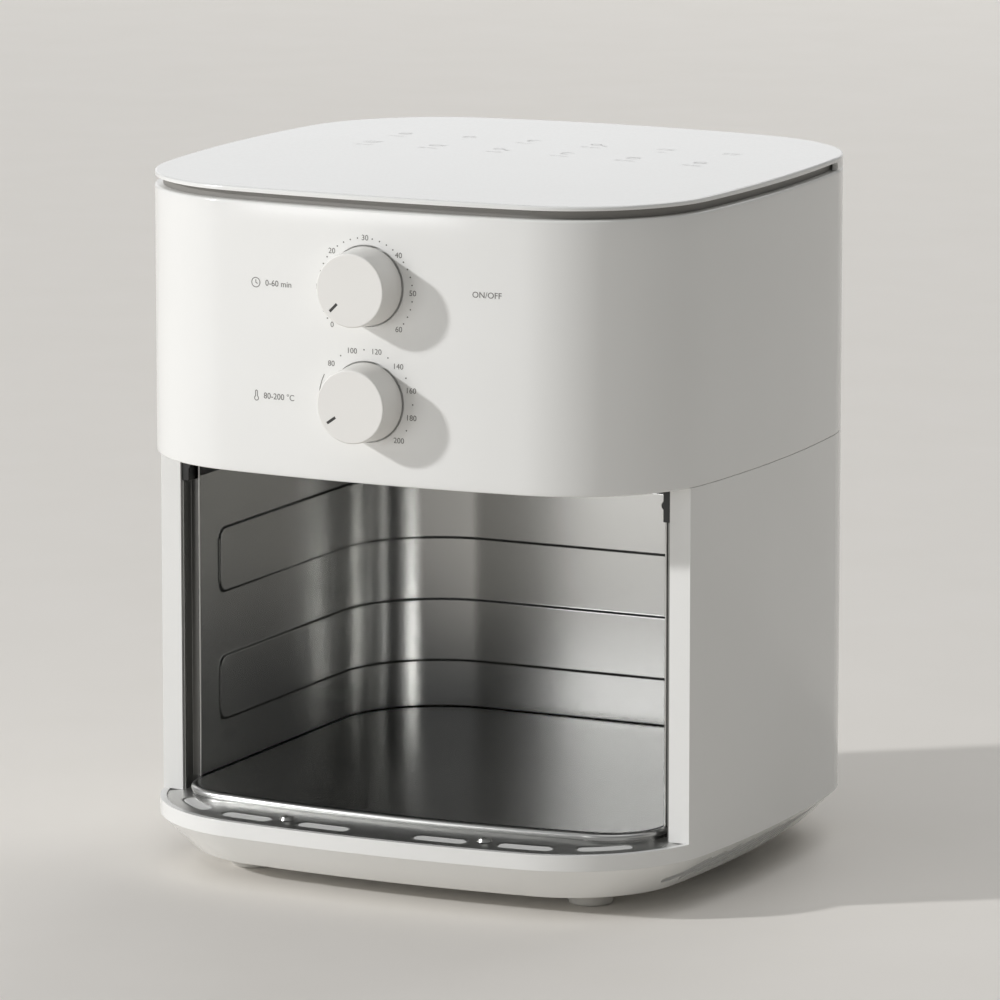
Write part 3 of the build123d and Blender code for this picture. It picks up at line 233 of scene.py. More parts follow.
# View and surroundings, with the camera's turn and rise in degrees
CAMERA_TURN = 25.99
CAMERA_RISE = 10.30
CAMERA_REACH = 3.100
CAMERA_AIM_Z = 152.05 * MM
CAMERA_AIM_RIGHT = -0.819 * MM
SENSOR = 36.0
FOCAL_SHARE = 7.205889
SURROUND_LIGHT = 0.20
SURROUND_SEEN = 0.72
SURROUND_COLOUR = "F1F2F3"
FLOOR_RADIUS = 6.0

# Lamps: turn to the right of the front and rise in degrees, reach, width and height, watts, colour
LAMPS = {
    "key_lamp": (-53, 23, 7.0, 0.34, 0.34, 290, "FEFEFF"),
    "low_front_lamp": (-27, 5, 2.5, 0.9, 0.42, 7.0, "FFFFFF"),
    "overhead_lamp": (40, 78, 5.0, 4.5, 4.5, 58, "FFFFFF"),
    "lid_lamp": (-156, 10, 4.5, 4.0, 1.6, 17, "FFFFFF"),
    "rear_lamp": (176, 38, 5.0, 3.0, 2.0, 44, "FFFFFF"),
}

# Finishes: sizes of the patterns, swings of the roughness and strengths of the relief
DRIFT_SIZE = 70 * MM
CLOUD_SIZE = 40 * MM
STREAK = 1.2 * MM
PLASTIC_SWING = 0.04
PLASTIC_RELIEF = 0.35
STEEL_SWING = 0.004
STEEL_RELIEF = 0.06
STEEL_GRAIN = 0.6
METAL_SWING = 0.08
METAL_RELIEF = 0.2
METAL_DEPTH = 0.05 * MM


def middle_height(node):
    """The height of a node's middle."""
    low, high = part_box(node)
    return (low.z + high.z) / 2


shell_low, shell_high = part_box("upper_housing")
wall_low, wall_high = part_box("lower_housing")
liner_low, liner_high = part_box("cavity_liner")
LID_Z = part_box("top_cover")[1].z

HALF_WIDTH = shell_high.x
HALF_DEPTH = (shell_high.y - shell_low.y) / 2
MID_Y = (shell_high.y + shell_low.y) / 2
SEAM_Z = shell_low.z
RIM_Z = shell_high.z
LOWER_Z = wall_low.z
LIP_Z = LOWER_Z + LIP_HEIGHT
CUT_Y = shell_low.y + CUT_DEPTH
POST_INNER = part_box("right_side_channel")[1].x
SILL_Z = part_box("sill_plate")[1].z
TIMER_Z = middle_height("timer_knob")
HEAT_Z = middle_height("temperature_knob")
BAY_HALF = liner_high.x - SHEET
BAY_FRONT_Y = liner_low.y
BAY_BACK_Y = liner_high.y - SHEET

# Lengths along the bay's wall: one side, one corner, the back and all of it
SIDE_RUN = BAY_BACK_Y - BAY_CORNER - BAY_FRONT_Y
CORNER_RUN = BAY_CORNER * math.pi / 2
REAR_RUN = 2 * (BAY_HALF - BAY_CORNER)
WALL_RUN = 2 * SIDE_RUN + 2 * CORNER_RUN + REAR_RUN

SIDE_GAP = SIDE_RADIUS - HALF_WIDTH
END_GAP = SIDE_RADIUS - HALF_DEPTH
ARCS_APART = math.hypot(SIDE_GAP, END_GAP)
ARC_LIFT = math.sqrt((SIDE_RADIUS - CORNER_RADIUS) ** 2 - (ARCS_APART / 2) ** 2) / ARCS_APART
CORNER_X = ARC_LIFT * END_GAP - SIDE_GAP / 2
CORNER_Y = ARC_LIFT * SIDE_GAP - END_GAP / 2
SIDE_TURN = math.atan2(CORNER_Y, CORNER_X + SIDE_GAP)
END_TURN = math.atan2(CORNER_Y + END_GAP, CORNER_X)
FRONT_TURN = 3 * math.pi / 2
BOW_TURN = math.pi / 2 - END_TURN


def srgb(code):
    """A colour written as six hex digits, turned to linear values."""
    shares = [int(code[at:at + 2], 16) / 255 for at in (0, 2, 4)]
    linear = [s / 12.92 if s <= 0.04045 else ((s + 0.055) / 1.055) ** 2.4 for s in shares]
    return (*linear, 1.0)


def put(tree, kind, inputs=None, **settings):
    """Adds a node with its settings, and sets or links its inputs."""
    node = tree.nodes.new(kind)
    for name, value in settings.items():
        setattr(node, name, value)
    for name, value in (inputs or {}).items():
        socket = node.inputs[name]
        if isinstance(value, bpy.types.NodeSocket):
            tree.links.new(value, socket)
        else:
            socket.default_value = value
    return node


def new_finish(name):
    """An empty material with its shader, and the coordinates of the object that it is on."""
    material = bpy.data.materials.new(name)
    material.use_nodes = True
    tree = material.node_tree
    tree.nodes.clear()
    shader = put(tree, "ShaderNodeBsdfPrincipled")
    put(tree, "ShaderNodeOutputMaterial", {"Surface": shader.outputs["BSDF"]})
    return material, tree, shader, put(tree, "ShaderNodeTexCoord").outputs["Object"]


def noise(tree, place, size, detail, roughness=0.5):
    """A cloudy pattern of the given size."""
    node = put(tree, "ShaderNodeTexNoise", {
        "Vector": place, "Scale": 1 / size, "Detail": detail, "Roughness": roughness})
    return node.outputs[0]


def coat(tree, shader, blend, colour, shade, pattern, roughness, swing, relief, depth):
    """Gives a shader a blend of two colours, and a roughness and a relief that follow a pattern."""
    tint = put(tree, "ShaderNodeMix", {0: blend, 6: srgb(colour), 7: srgb(shade)}, data_type="RGBA")
    gloss = put(tree, "ShaderNodeMapRange", {
        "Value": pattern, "To Min": roughness - swing, "To Max": roughness + swing})
    bump = put(tree, "ShaderNodeBump", {"Height": pattern, "Strength": relief, "Distance": depth})
    tree.links.new(tint.outputs[2], shader.inputs["Base Color"])
    tree.links.new(gloss.outputs[0], shader.inputs["Roughness"])
    tree.links.new(bump.outputs[0], shader.inputs["Normal"])


def moulded_plastic(name, colour, shade, roughness, grain, depth, level=0.5):
    """Moulded plastic: an even colour with a slow drift, and the fine grain that the mould left."""
    material, tree, shader, place = new_finish(name)
    drift = noise(tree, place, DRIFT_SIZE, 2.0)
    pits = noise(tree, place, grain, 3.0)
    coat(tree, shader, drift, colour, shade, pits, roughness, PLASTIC_SWING, PLASTIC_RELIEF, depth)
    shader.inputs["Specular IOR Level"].default_value = level
    return material


def rolled_steel(name, colour, shade, roughness, across, depth, drawn):
    """Cold-rolled stainless sheet: fine streaks, and highlights drawn out into bands across them."""
    material, tree, shader, place = new_finish(name)
    along = put(tree, "ShaderNodeMapping", {"Vector": place, "Scale": across}).outputs[0]
    grain = noise(tree, along, STREAK, 4.0, STEEL_GRAIN)
    cloud = noise(tree, place, CLOUD_SIZE, 3.0)
    coat(tree, shader, cloud, colour, shade, grain, roughness, STEEL_SWING, STEEL_RELIEF, depth)
    shader.inputs["Metallic"].default_value = 1.0
    shader.inputs["Anisotropic"].default_value = drawn
    shader.inputs["Anisotropic Rotation"].default_value = 0.25
    return material


def worked_metal(name, colour, shade, roughness, mottle, metallic=1.0):
    """A plain worked metal: plated, ground, cast or enamelled, with mottling of the given size."""
    material, tree, shader, place = new_finish(name)
    cloud = noise(tree, place, mottle, 4.0)
    coat(tree, shader, cloud, colour, shade, cloud, roughness, METAL_SWING, METAL_RELIEF, METAL_DEPTH)
    shader.inputs["Metallic"].default_value = metallic
    return material


# The grain of the plastics is drawn several times coarser than the real one, so that it shows
FINISHES = {
    "white_shell": moulded_plastic("ABS_moulded_satin_white", "F1F1EF", "EDEDEA", 0.17, 1.6 * MM, 0.002 * MM),
    "knob_plastic": moulded_plastic("ABS_moulded_matt_white", "EFEEEA", "E9E7E3", 0.46, 0.7 * MM, 0.04 * MM),
    "grey_trim": moulded_plastic("ABS_moulded_grey", "8D8B87", "83817D", 0.42, 0.7 * MM, 0.04 * MM),
    "black_plastic": moulded_plastic("nylon_moulded_black", "191919", "222221", 0.40, 0.6 * MM, 0.05 * MM),
    "foot_rubber": moulded_plastic("silicone_moulded_pale", "DAD8D3", "D0CEC8", 0.55, 0.8 * MM, 0.04 * MM),
    "bay_steel": rolled_steel(
        "steel_rolled_stainless", "C6C6C4", "BEBEBC", 0.24, (0.02, 0.02, 1), 0.001 * MM, 0.6),
    "plated_sheet": worked_metal("steel_zinc_plated_sheet", "A9ACAE", "8F9396", 0.42, 9 * MM),
    "screw_steel": worked_metal("steel_plated_screw", "CDCDCA", "B7B7B3", 0.34, 1.5 * MM),
    "element_steel": worked_metal("steel_heat_oxidised_tube", "5C5A52", "44423D", 0.46, 5 * MM),
    "fan_aluminium": worked_metal("aluminium_pressed", "C2C4C6", "B2B4B6", 0.36, 4 * MM),
    "cooling_plastic": moulded_plastic("PBT_moulded_dark", "2B2C2E", "353638", 0.45, 0.8 * MM, 0.05 * MM),
    "shaft_steel": worked_metal("steel_ground_shaft", "B5B6B6", "A3A4A4", 0.24, 1.2 * MM),
    "motor_enamel": worked_metal("enamel_baked_grey", "6B6E70", "5F6264", 0.38, 3 * MM, 0.0),
    "bush_brass": worked_metal("bronze_sintered", "A88450", "8E6D40", 0.44, 0.8 * MM),
    "lamp_glass": moulded_plastic("polycarbonate_amber", "D98A3A", "E09A4E", 0.18, 1.5 * MM, 0.01 * MM),
}
INK = moulded_plastic("ink_pad_printed_grey", "6A6865", "7A7874", 0.50, 0.5 * MM, 0.01 * MM)
POINTER_INK = moulded_plastic("ABS_moulded_charcoal", "2E2D2B", "393836", 0.45, 0.5 * MM, 0.02 * MM)
FLOOR_STEEL = rolled_steel(
    "steel_rolled_floor", "ACACAA", "A3A3A1", 0.26, (0.02, 1, 1), 0.004 * MM, 0.0)
# The side channels' steel is coloured darker than the liner's: painted shade for the shadow that the channels
# stand in beside the posts.
CHANNEL_STEEL_PAINTED_SHADE = rolled_steel(
    "steel_rolled_channel_painted_shade", "8C8C8A", "848482", 0.33, (1, 1, 0.02), 0.001 * MM, 0.0)
SILL_STEEL = rolled_steel(
    "steel_pressed_sill", "D4D4D2", "CCCCCA", 0.35, (0.02, 1, 1), 0.001 * MM, 0.0)
PALE_INK = moulded_plastic("ink_pad_printed_pale", "CBCAC7", "D2D1CE", 0.45, 0.5 * MM, 0.01 * MM)


def outline_point(turn, inset):
    """The body's outline where it faces the angle turn, drawn in by inset."""
    across = math.cos(turn)
    along = math.sin(turn)
    angle = math.atan2(abs(along), abs(across))
    reach = SIDE_RADIUS - inset
    corner = CORNER_RADIUS - inset
    if angle < SIDE_TURN:
        x, y = reach * math.cos(angle) - SIDE_GAP, reach * math.sin(angle)
    elif angle > END_TURN:
        x, y = reach * math.cos(angle), reach * math.sin(angle) - END_GAP
    else:
        x, y = CORNER_X + corner * math.cos(angle), CORNER_Y + corner * math.sin(angle)
    return math.copysign(x, across), MID_Y + math.copysign(y, along)


def outline_turns(start, stop):
    """Angles round the outline from start to stop, closer together in the corners."""
    quarter = math.pi / 2
    stops = {start, stop}
    for number in range(-4, 9):
        even = number % 2 == 0
        near = SIDE_TURN if even else BOW_TURN
        stops.update(t for t in (number * quarter - near, number * quarter + near) if start < t < stop)
    stops = sorted(stops)
    turns = [start]
    for begin, end in zip(stops, stops[1:]):
        first = Vector(outline_point(begin, 0))
        length = (Vector(outline_point(end, 0)) - first).length
        count = max(1, math.ceil(length / SPAN_STEP), math.ceil((end - begin) / TURN_STEP))
        turns += [begin + (end - begin) * step / count for step in range(1, count + 1)]
    return turns


def soft_profile(corners):
    """A closed section whose corners, given as inset, height and radius, are rounded."""
    points = []
    for number, (inset, height, radius) in enumerate(corners):
        here = Vector((inset, height))
        before = (Vector(corners[number - 1][:2]) - here).normalized()
        after = (Vector(corners[(number + 1) % len(corners)][:2]) - here).normalized()
        if radius == 0:
            points.append(here)
            continue
        half = before.angle(after) / 2
        centre = here + (before + after).normalized() * radius / math.sin(half)
        first = here + before * radius / math.tan(half) - centre
        last = here + after * radius / math.tan(half) - centre
        for step in range(CORNER_STEPS + 1):
            share = step / CORNER_STEPS
            points.append(centre + first.slerp(last, share) * radius)
    return points


def skin(mesh, rows, closed=False):
    """Joins each row of vertices to the next by four-sided faces, all the way round where rows are closed."""
    for row, above in zip(rows, rows[1:]):
        for at in range(len(row) if closed else len(row) - 1):
            after = (at + 1) % len(row)
            mesh.faces.new((row[at], row[after], above[after], above[at]))


def swept_ring(mesh, profile):
    """Sweeps a closed section round the whole outline into a bmesh."""
    turns = outline_turns(0, 2 * math.pi)[:-1]
    rows = []
    for point in profile:
        rows.append([mesh.verts.new((*outline_point(turn, point.x), point.y)) for turn in turns])
    skin(mesh, rows + rows[:1], closed=True)


def linked(name, data):
    """A new object in the scene."""
    thing = bpy.data.objects.new(name, data)
    bpy.context.scene.collection.objects.link(thing)
    return thing


def placed(name, mesh):
    """A new object in the scene, from a bmesh."""
    data = bpy.data.meshes.new(name)
    mesh.to_mesh(data)
    mesh.free()
    return linked(name, data)


def new_piece(name, mesh, material):
    """Turns a bmesh into a smooth piece of the object that rides on its main body."""
    piece = placed(name, mesh)
    piece.data.materials.append(material)
    piece.data.shade_smooth()
    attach(piece, BODY)
    return piece


def finished(name, mesh, material):
    """A closed shape as a piece, with its faces turned outwards."""
    bmesh.ops.recalc_face_normals(mesh, faces=mesh.faces)
    piece = new_piece(name, mesh, material)
    piece.data.set_sharp_from_angle(angle=SHARP)
    return piece


def sheet_piece(name, mesh, material, thickness):
    """An open surface as a piece, with the thickness of a sheet behind its faces."""
    piece = new_piece(name, mesh, material)
    thick = piece.modifiers.new("sheet", "SOLIDIFY")
    thick.thickness = thickness
    thick.offset = -1.0
    made_plain(piece)
    piece.data.set_sharp_from_angle(angle=SHEET_SHARP)
    return piece


def node_mesh(node):
    """The mesh of a node of the model, in place and with its points joined."""
    mesh = bmesh.new()
    mesh.from_mesh(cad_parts[node].data)
    mesh.transform(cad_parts[node].matrix_world)
    bmesh.ops.remove_doubles(mesh, verts=mesh.verts, dist=NODE_MERGE)
    return mesh


def round_edges(piece, width):
    """Rounds over the sharp edges of a piece."""
    bevel = piece.modifiers.new("softened edges", "BEVEL")
    bevel.width = width
    bevel.segments = BEVEL_STEPS
    bevel.limit_method = "ANGLE"
    bevel.angle_limit = BEVEL_FROM
    bevel.harden_normals = True
    made_plain(piece)


def evaluated_mesh(thing):
    """A new mesh of an object as its modifiers leave it."""
    bpy.context.view_layer.update()
    return bpy.data.meshes.new_from_object(thing.evaluated_get(bpy.context.evaluated_depsgraph_get()))


def made_plain(piece):
    """Bakes a piece's modifiers into its mesh."""
    data = evaluated_mesh(piece)
    piece.modifiers.clear()
    piece.data = data


def cut_away(piece, cutter):
    """Cuts a closed shape, given as a bmesh, out of a piece."""
    bmesh.ops.recalc_face_normals(cutter, faces=cutter.faces)
    tool = placed("cutter", cutter)
    cut = piece.modifiers.new("cut", "BOOLEAN")
    cut.object = tool
    cut.operation = "DIFFERENCE"
    cut.solver = "EXACT"
    made_plain(piece)
    bpy.data.objects.remove(tool)


def add_block(mesh, middle, size):
    """Adds a block of the given size about its middle to a bmesh."""
    bmesh.ops.create_cube(mesh, size=1.0, matrix=Matrix.Translation(middle) @ Matrix.Diagonal((*size, 1)))


def box_cutter(low, high):
    """A block between two corners."""
    cutter = bmesh.new()
    add_block(cutter, (Vector(low) + Vector(high)) / 2, Vector(high) - Vector(low))
    return cutter


def round_cutter(y, z, radius):
    """A rod along Y, long enough to go through a wall."""
    cutter = bmesh.new()
    turned = Matrix.Translation((0, y, z)) @ Matrix.Rotation(math.pi / 2, 4, "X")
    bmesh.ops.create_cone(
        cutter, cap_ends=True, segments=ROD_SIDES, radius1=radius, radius2=radius,
        depth=THROUGH, matrix=turned)
    return cutter


def ring_cutter(z, inner, outer, front, back):
    """A ring about a level axis at a height, between two radii and from front to back."""
    cutter = bmesh.new()
    turns = [2 * math.pi * step / FINE_SIDES for step in range(FINE_SIDES)]
    loops = []
    for radius, y in ((inner, front), (outer, front), (outer, back), (inner, back)):
        loops.append([cutter.verts.new((radius * math.cos(t), y, z + radius * math.sin(t))) for t in turns])
    skin(cutter, loops + loops[:1], closed=True)
    return cutter


def upper_shell():
    """The upper housing: soft edges, inner ledge, outlet opening, and a ring recess behind each knob."""
    mesh = bmesh.new()
    partition = SEAM_Z + LEDGE_HEIGHT
    outlet_low, outlet_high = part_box("rear_grille")
    knob_low, knob_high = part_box("timer_knob")
    knob_radius = (knob_high.x - knob_low.x) / 2
    margin = knob_radius + RECESS_MARGIN
    levels = [knob + side * margin for knob in (TIMER_Z, HEAT_Z) for side in (-1, 1)]
    levels += [outlet_low.z, outlet_high.z]
    swept_ring(mesh, soft_profile([
        (0, SEAM_Z, SEAM_ROUND),
        *[(0, level, 0) for level in sorted(levels)],
        (0, RIM_Z, RIM_ROUND),
        (RIM_FLANGE, RIM_Z, INNER_ROUND),
        (RIM_FLANGE, RIM_Z - WALL, INNER_ROUND),
        (WALL, RIM_Z - WALL, INNER_ROUND),
        (WALL, partition, INNER_ROUND),
        (WALL + LEDGE_WIDTH, partition, INNER_ROUND),
        (WALL + LEDGE_WIDTH, SEAM_Z, INNER_ROUND),
    ]))
    piece = finished("upper_shell", mesh, FINISHES["white_shell"])
    cut_away(piece, box_cutter(
        (outlet_low.x + OUTLET_FLANGE - SEAT, 0, outlet_low.z + OUTLET_FLANGE - OUTLET_REST),
        (outlet_high.x - OUTLET_FLANGE + SEAT, 2 * outlet_high.y, outlet_high.z - OUTLET_FLANGE)))
    for knob in (TIMER_Z, HEAT_Z):
        cut_away(piece, round_cutter(shell_low.y, knob, SPINDLE_HOLE))
        cut_away(piece, ring_cutter(
            knob, knob_radius - KNOB_RECESS_HIDDEN, knob_radius + KNOB_RECESS_SHOWS,
            shell_low.y - WALL, shell_low.y + KNOB_RECESS_DEPTH))
    piece.data.set_sharp_from_angle(angle=SHARP)
    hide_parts("upper_housing")


def cut_turn(level, inset):
    """Where the outline, drawn in by inset, crosses the front cut at a level in Y."""
    return math.asin((MID_Y - level - CORNER_Y) / (CORNER_RADIUS - inset))


def sill_level(inset):
    """The height of the sill's top, which falls towards the lip."""
    share = (inset - WALL - SILL_FIT) / (FLOOR_INSET - WALL - SILL_FIT)
    return SILL_Z + SILL_TILT * share


def lower_shell():
    """The lower housing: one wall that drops to a low lip in front, with flat posts beside the opening."""
    outer_cut = cut_turn(CUT_Y, 0)
    inner_cut = cut_turn(CUT_Y + WALL, WALL)
    mesh = bmesh.new()

    def wall_rows(inset, turns, levels):
        return [[mesh.verts.new((*outline_point(turn, inset), z)) for turn in turns] for z in levels]

    def between(turns, begin, end):
        return [begin] + [min(max(turn, begin), end) for turn in turns[1:-1]] + [end]

    rear = outline_turns(-outer_cut, math.pi + outer_cut)
    fore = outline_turns(math.pi + outer_cut, 2 * math.pi - outer_cut)
    gland_low, gland_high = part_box("cord_gland")
    heights = (LIP_Z, gland_low.z, gland_high.z, SEAM_Z)
    outer = wall_rows(0, rear, (LOWER_Z, *heights))
    inner = wall_rows(WALL, between(rear, -inner_cut, math.pi + inner_cut), (LOWER_Z, *heights))
    lip = wall_rows(0, fore, (LOWER_Z, LIP_Z))
    lining = wall_rows(WALL, between(fore, math.pi + inner_cut, 2 * math.pi - inner_cut), (LOWER_Z, LIP_Z))
    for wall, behind in ((outer, inner), (lip, lining)):
        skin(mesh, wall)
        skin(mesh, behind)
        for level in (0, -1):
            skin(mesh, (wall[level], behind[level]))
    for side, at in ((1, 0), (-1, -1)):
        corner = [mesh.verts.new((side * POST_INNER, CUT_Y, z)) for z in heights]
        inside = [mesh.verts.new((side * POST_INNER, CUT_Y + WALL, z)) for z in heights]
        edge = [row[at] for row in outer[1:]]
        back = [row[at] for row in inner[1:]]
        skin(mesh, (back, inside, corner, edge))
        for level in (0, -1):
            mesh.faces.new((edge[level], corner[level], inside[level], back[level]))
    bmesh.ops.remove_doubles(mesh, verts=mesh.verts, dist=MERGE)
    piece = finished("lower_shell", mesh, FINISHES["white_shell"])
    round_edges(piece, LIP_ROUND)
    sleeve = (gland_high.z - gland_low.z) / 2 - GLAND_FLANGE
    cut_away(piece, round_cutter(wall_high.y, middle_height("cord_gland"), sleeve))
    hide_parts("lower_housing")

    mesh = bmesh.new()
    flange_low = LIP_Z - FLANGE_DROP
    flange_end = WALL + FLANGE_WIDTH
    swept_ring(mesh, soft_profile([
        (WALL, flange_low, INNER_ROUND),
        (WALL, sill_level(WALL) - SILL_SHEET, INNER_ROUND),
        (flange_end, sill_level(flange_end) - SILL_SHEET, INNER_ROUND),
        (flange_end, flange_low, INNER_ROUND),
    ]))
    flange = finished("lower_shell_flange", mesh, FINISHES["white_shell"])


def slit_cutter(cutter, place):
    """Adds a round-ended slot, which lies flat at a place, to a cutting shape."""
    straight = (SLIT_LENGTH - SLIT_WIDTH) / 2
    radius = SLIT_WIDTH / 2
    turns = [math.pi * step / SLIT_END_STEPS for step in range(SLIT_END_STEPS + 1)]
    end = [Vector((straight + math.sin(t) * radius, math.cos(t) * radius)) for t in turns]
    rows = []
    for depth in (-SLIT_CUT / 2, SLIT_CUT / 2):
        rows.append([cutter.verts.new(place @ Vector((*point, depth))) for point in end + [-p for p in end]])
        cutter.faces.new(rows[-1])
    skin(cutter, rows, closed=True)


def slitted_base():
    """The base pan again, with its slanted air slits opened wider."""
    base_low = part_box("base_pan")[0]
    height = LOWER_Z - base_low.z
    tilt = math.atan2(BASE_TAPER, height)
    facing = Matrix(((0, 0, 1, 0), (1, 0, 0, 0), (0, 1, 0, 0), (0, 0, 0, 1)))
    turned = facing @ Matrix.Rotation(tilt, 4, "X") @ Matrix.Rotation(SLIT_SLANT, 4, "Z")
    cutter = bmesh.new()
    for number in range(SLIT_COUNT):
        along = SLIT_CENTRE + SLIT_PITCH * (number - (SLIT_COUNT - 1) / 2)
        across = math.sqrt(SIDE_RADIUS ** 2 - along ** 2) - SIDE_GAP - BASE_TAPER / 2
        place = Matrix.Translation((across, MID_Y + along, base_low.z + height / 2)) @ turned
        for side in (-1, 1):
            slit_cutter(cutter, Matrix.Diagonal((side, 1, 1, 1)) @ place)
    piece = finished("slitted_base", node_mesh("base_pan"), FINISHES["white_shell"])
    cut_away(piece, cutter)
    piece.data.set_sharp_from_angle(angle=SHARP)
    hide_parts("base_pan")


def spread(stops, fine):
    """Places from the first stop to the last, no further apart than each stretch allows."""
    places = [stops[0]]
    for begin, end, step in zip(stops, stops[1:], fine):
        count = max(1, math.ceil((end - begin) / step - ROUNDING))
        places += [begin + (end - begin) * number / count for number in range(1, count + 1)]
    return places


def bay_path(length):
    """A point and its inward direction on the bay's wall, at a length from its left front edge."""
    if length > WALL_RUN / 2:
        point, inward = bay_path(WALL_RUN - length)
        return Vector((-point.x, point.y)), Vector((-inward.x, inward.y))
    if length <= SIDE_RUN:
        return Vector((-BAY_HALF, BAY_FRONT_Y + length)), Vector((1, 0))
    past = length - SIDE_RUN
    if past <= CORNER_RUN:
        turn = math.pi - past / BAY_CORNER
        way = Vector((math.cos(turn), math.sin(turn)))
        return Vector((BAY_CORNER - BAY_HALF, BAY_BACK_Y - BAY_CORNER)) + way * BAY_CORNER, -way
    return Vector((BAY_CORNER - BAY_HALF + past - CORNER_RUN, BAY_BACK_Y)), Vector((0, -1))


def band_share(length, height):
    """How far a place on the liner is pressed in: 0 on the wall, 1 on a band."""
    share = 0.0
    for lift in BAND_LIFTS:
        middle_z = liner_low.z + lift + BAND_HEIGHT / 2
        aside = abs(length - WALL_RUN / 2) - (WALL_RUN / 2 - BAND_SETBACK - BAND_ROUND)
        above = abs(height - middle_z) - (BAND_HEIGHT / 2 - BAND_ROUND)
        outside = math.hypot(max(aside, 0), max(above, 0)) + min(max(aside, above), 0) - BAND_ROUND
        part = min(1.0, max(0.0, 0.5 - outside / BAND_SLOPE))
        share = max(share, part * part * (3 - 2 * part))
    return share


def pressed_liner():
    """The steel wall of the bay, with soft-edged bands pressed into it."""
    edge = BAND_SETBACK - BAND_SLOPE
    nose = BAND_SETBACK + BAND_ROUND + BAND_SLOPE
    half = [0, edge, nose, SIDE_RUN, SIDE_RUN + CORNER_RUN]
    steps = [WALL_STEP, NOSE_STEP, WALL_STEP, CORNER_STEP]
    stops = half + [WALL_RUN - place for place in reversed(half)]
    lengths = spread(stops, [*steps, WALL_STEP, *reversed(steps)])
    stops = [liner_low.z, liner_low.z + FOOT_ROUND]
    fine = [FOOT_ROUND / FOOT_STEPS]
    for lift in BAND_LIFTS:
        bottom = liner_low.z + lift
        top = bottom + BAND_HEIGHT
        stops += [bottom - BAND_SLOPE, bottom + BAND_SLOPE, bottom + BAND_ROUND + BAND_SLOPE]
        stops += [top - BAND_ROUND - BAND_SLOPE, top - BAND_SLOPE, top + BAND_SLOPE]
        fine += [LEVEL_STEP, CREASE_STEP, BAND_STEP, LEVEL_STEP, BAND_STEP, CREASE_STEP]
    heights = spread(stops + [liner_high.z], fine + [LEVEL_STEP])
    mesh = bmesh.new()
    rows = []
    for height in heights:
        row = []
        for length in lengths:
            point, inward = bay_path(length)
            foot = max(0.0, 1 - (height - liner_low.z) / FOOT_ROUND)
            flare = FOOT_ROUND * (1 - math.sqrt(1 - foot ** 2))
            point = point + inward * (BAND_DEPTH * band_share(length, height) - flare)
            row.append(mesh.verts.new((*point, height)))
        rows.append(row)
    skin(mesh, rows)
    piece = sheet_piece("pressed_liner", mesh, FINISHES["bay_steel"], SHEET)
    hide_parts("cavity_liner")

    mesh = bmesh.new()
    for side in (-1, 1):
        middle = Vector((side * (BAY_HALF + SHEET / 2), BAY_FRONT_Y, (liner_low.z + liner_high.z) / 2))
        bmesh.ops.create_cone(
            mesh, cap_ends=True, segments=EDGE_SIDES, radius1=SHEET / 2, radius2=SHEET / 2,
            depth=liner_high.z - liner_low.z, matrix=Matrix.Translation(middle))
    finished("pressed_liner_edges", mesh, FINISHES["bay_steel"])


def blocks_beside(outer, top, size):
    """A block at each side of the bay's mouth, given by its outer face, its top and its size."""
    mesh = bmesh.new()
    for side in (-1, 1):
        middle = Vector((side * (outer - size.x / 2), BAY_FRONT_Y + size.y / 2, top - size.z / 2))
        add_block(mesh, middle, size)
    return mesh


def channel_feet():
    """The turned-down ends of the side channels, which close the gap beside the floor's rim."""
    size = Vector((POST_INNER - BAY_HALF - SHEET, SHEET, liner_low.z - SILL_Z))
    mesh = blocks_beside(POST_INNER, liner_low.z, size)
    finished("channel_feet", mesh, CHANNEL_STEEL_PAINTED_SHADE)


def catch_tails():
    """The black tails of the drawer catches, which run back along the top of the bay's walls."""
    low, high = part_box("left_drawer_catch")
    size = Vector((TAIL_THICK, TAIL_LENGTH, high.z - low.z - TAIL_ABOVE))
    mesh = blocks_beside(BAY_HALF, high.z, size)
    finished("drawer_catch_tails", mesh, FINISHES["black_plastic"])


def softened(node, material):
    """A folded or moulded node again, with its sharp edges rounded over."""
    mesh = node_mesh(node)
    bmesh.ops.dissolve_limit(mesh, angle_limit=NODE_FLAT, verts=mesh.verts, edges=mesh.edges)
    piece = finished(node + "_softened", mesh, material)
    round_edges(piece, SHEET_ROUND)
    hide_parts(node)


def slot_line(turn):
    """The length along the sill's line of slots from its middle, where the outline faces the angle turn."""
    aside = turn - FRONT_TURN
    length = (SIDE_RADIUS - SLOT_INSET) * min(abs(aside), BOW_TURN)
    length += (CORNER_RADIUS - SLOT_INSET) * max(abs(aside) - BOW_TURN, 0)
    return math.copysign(length, aside)


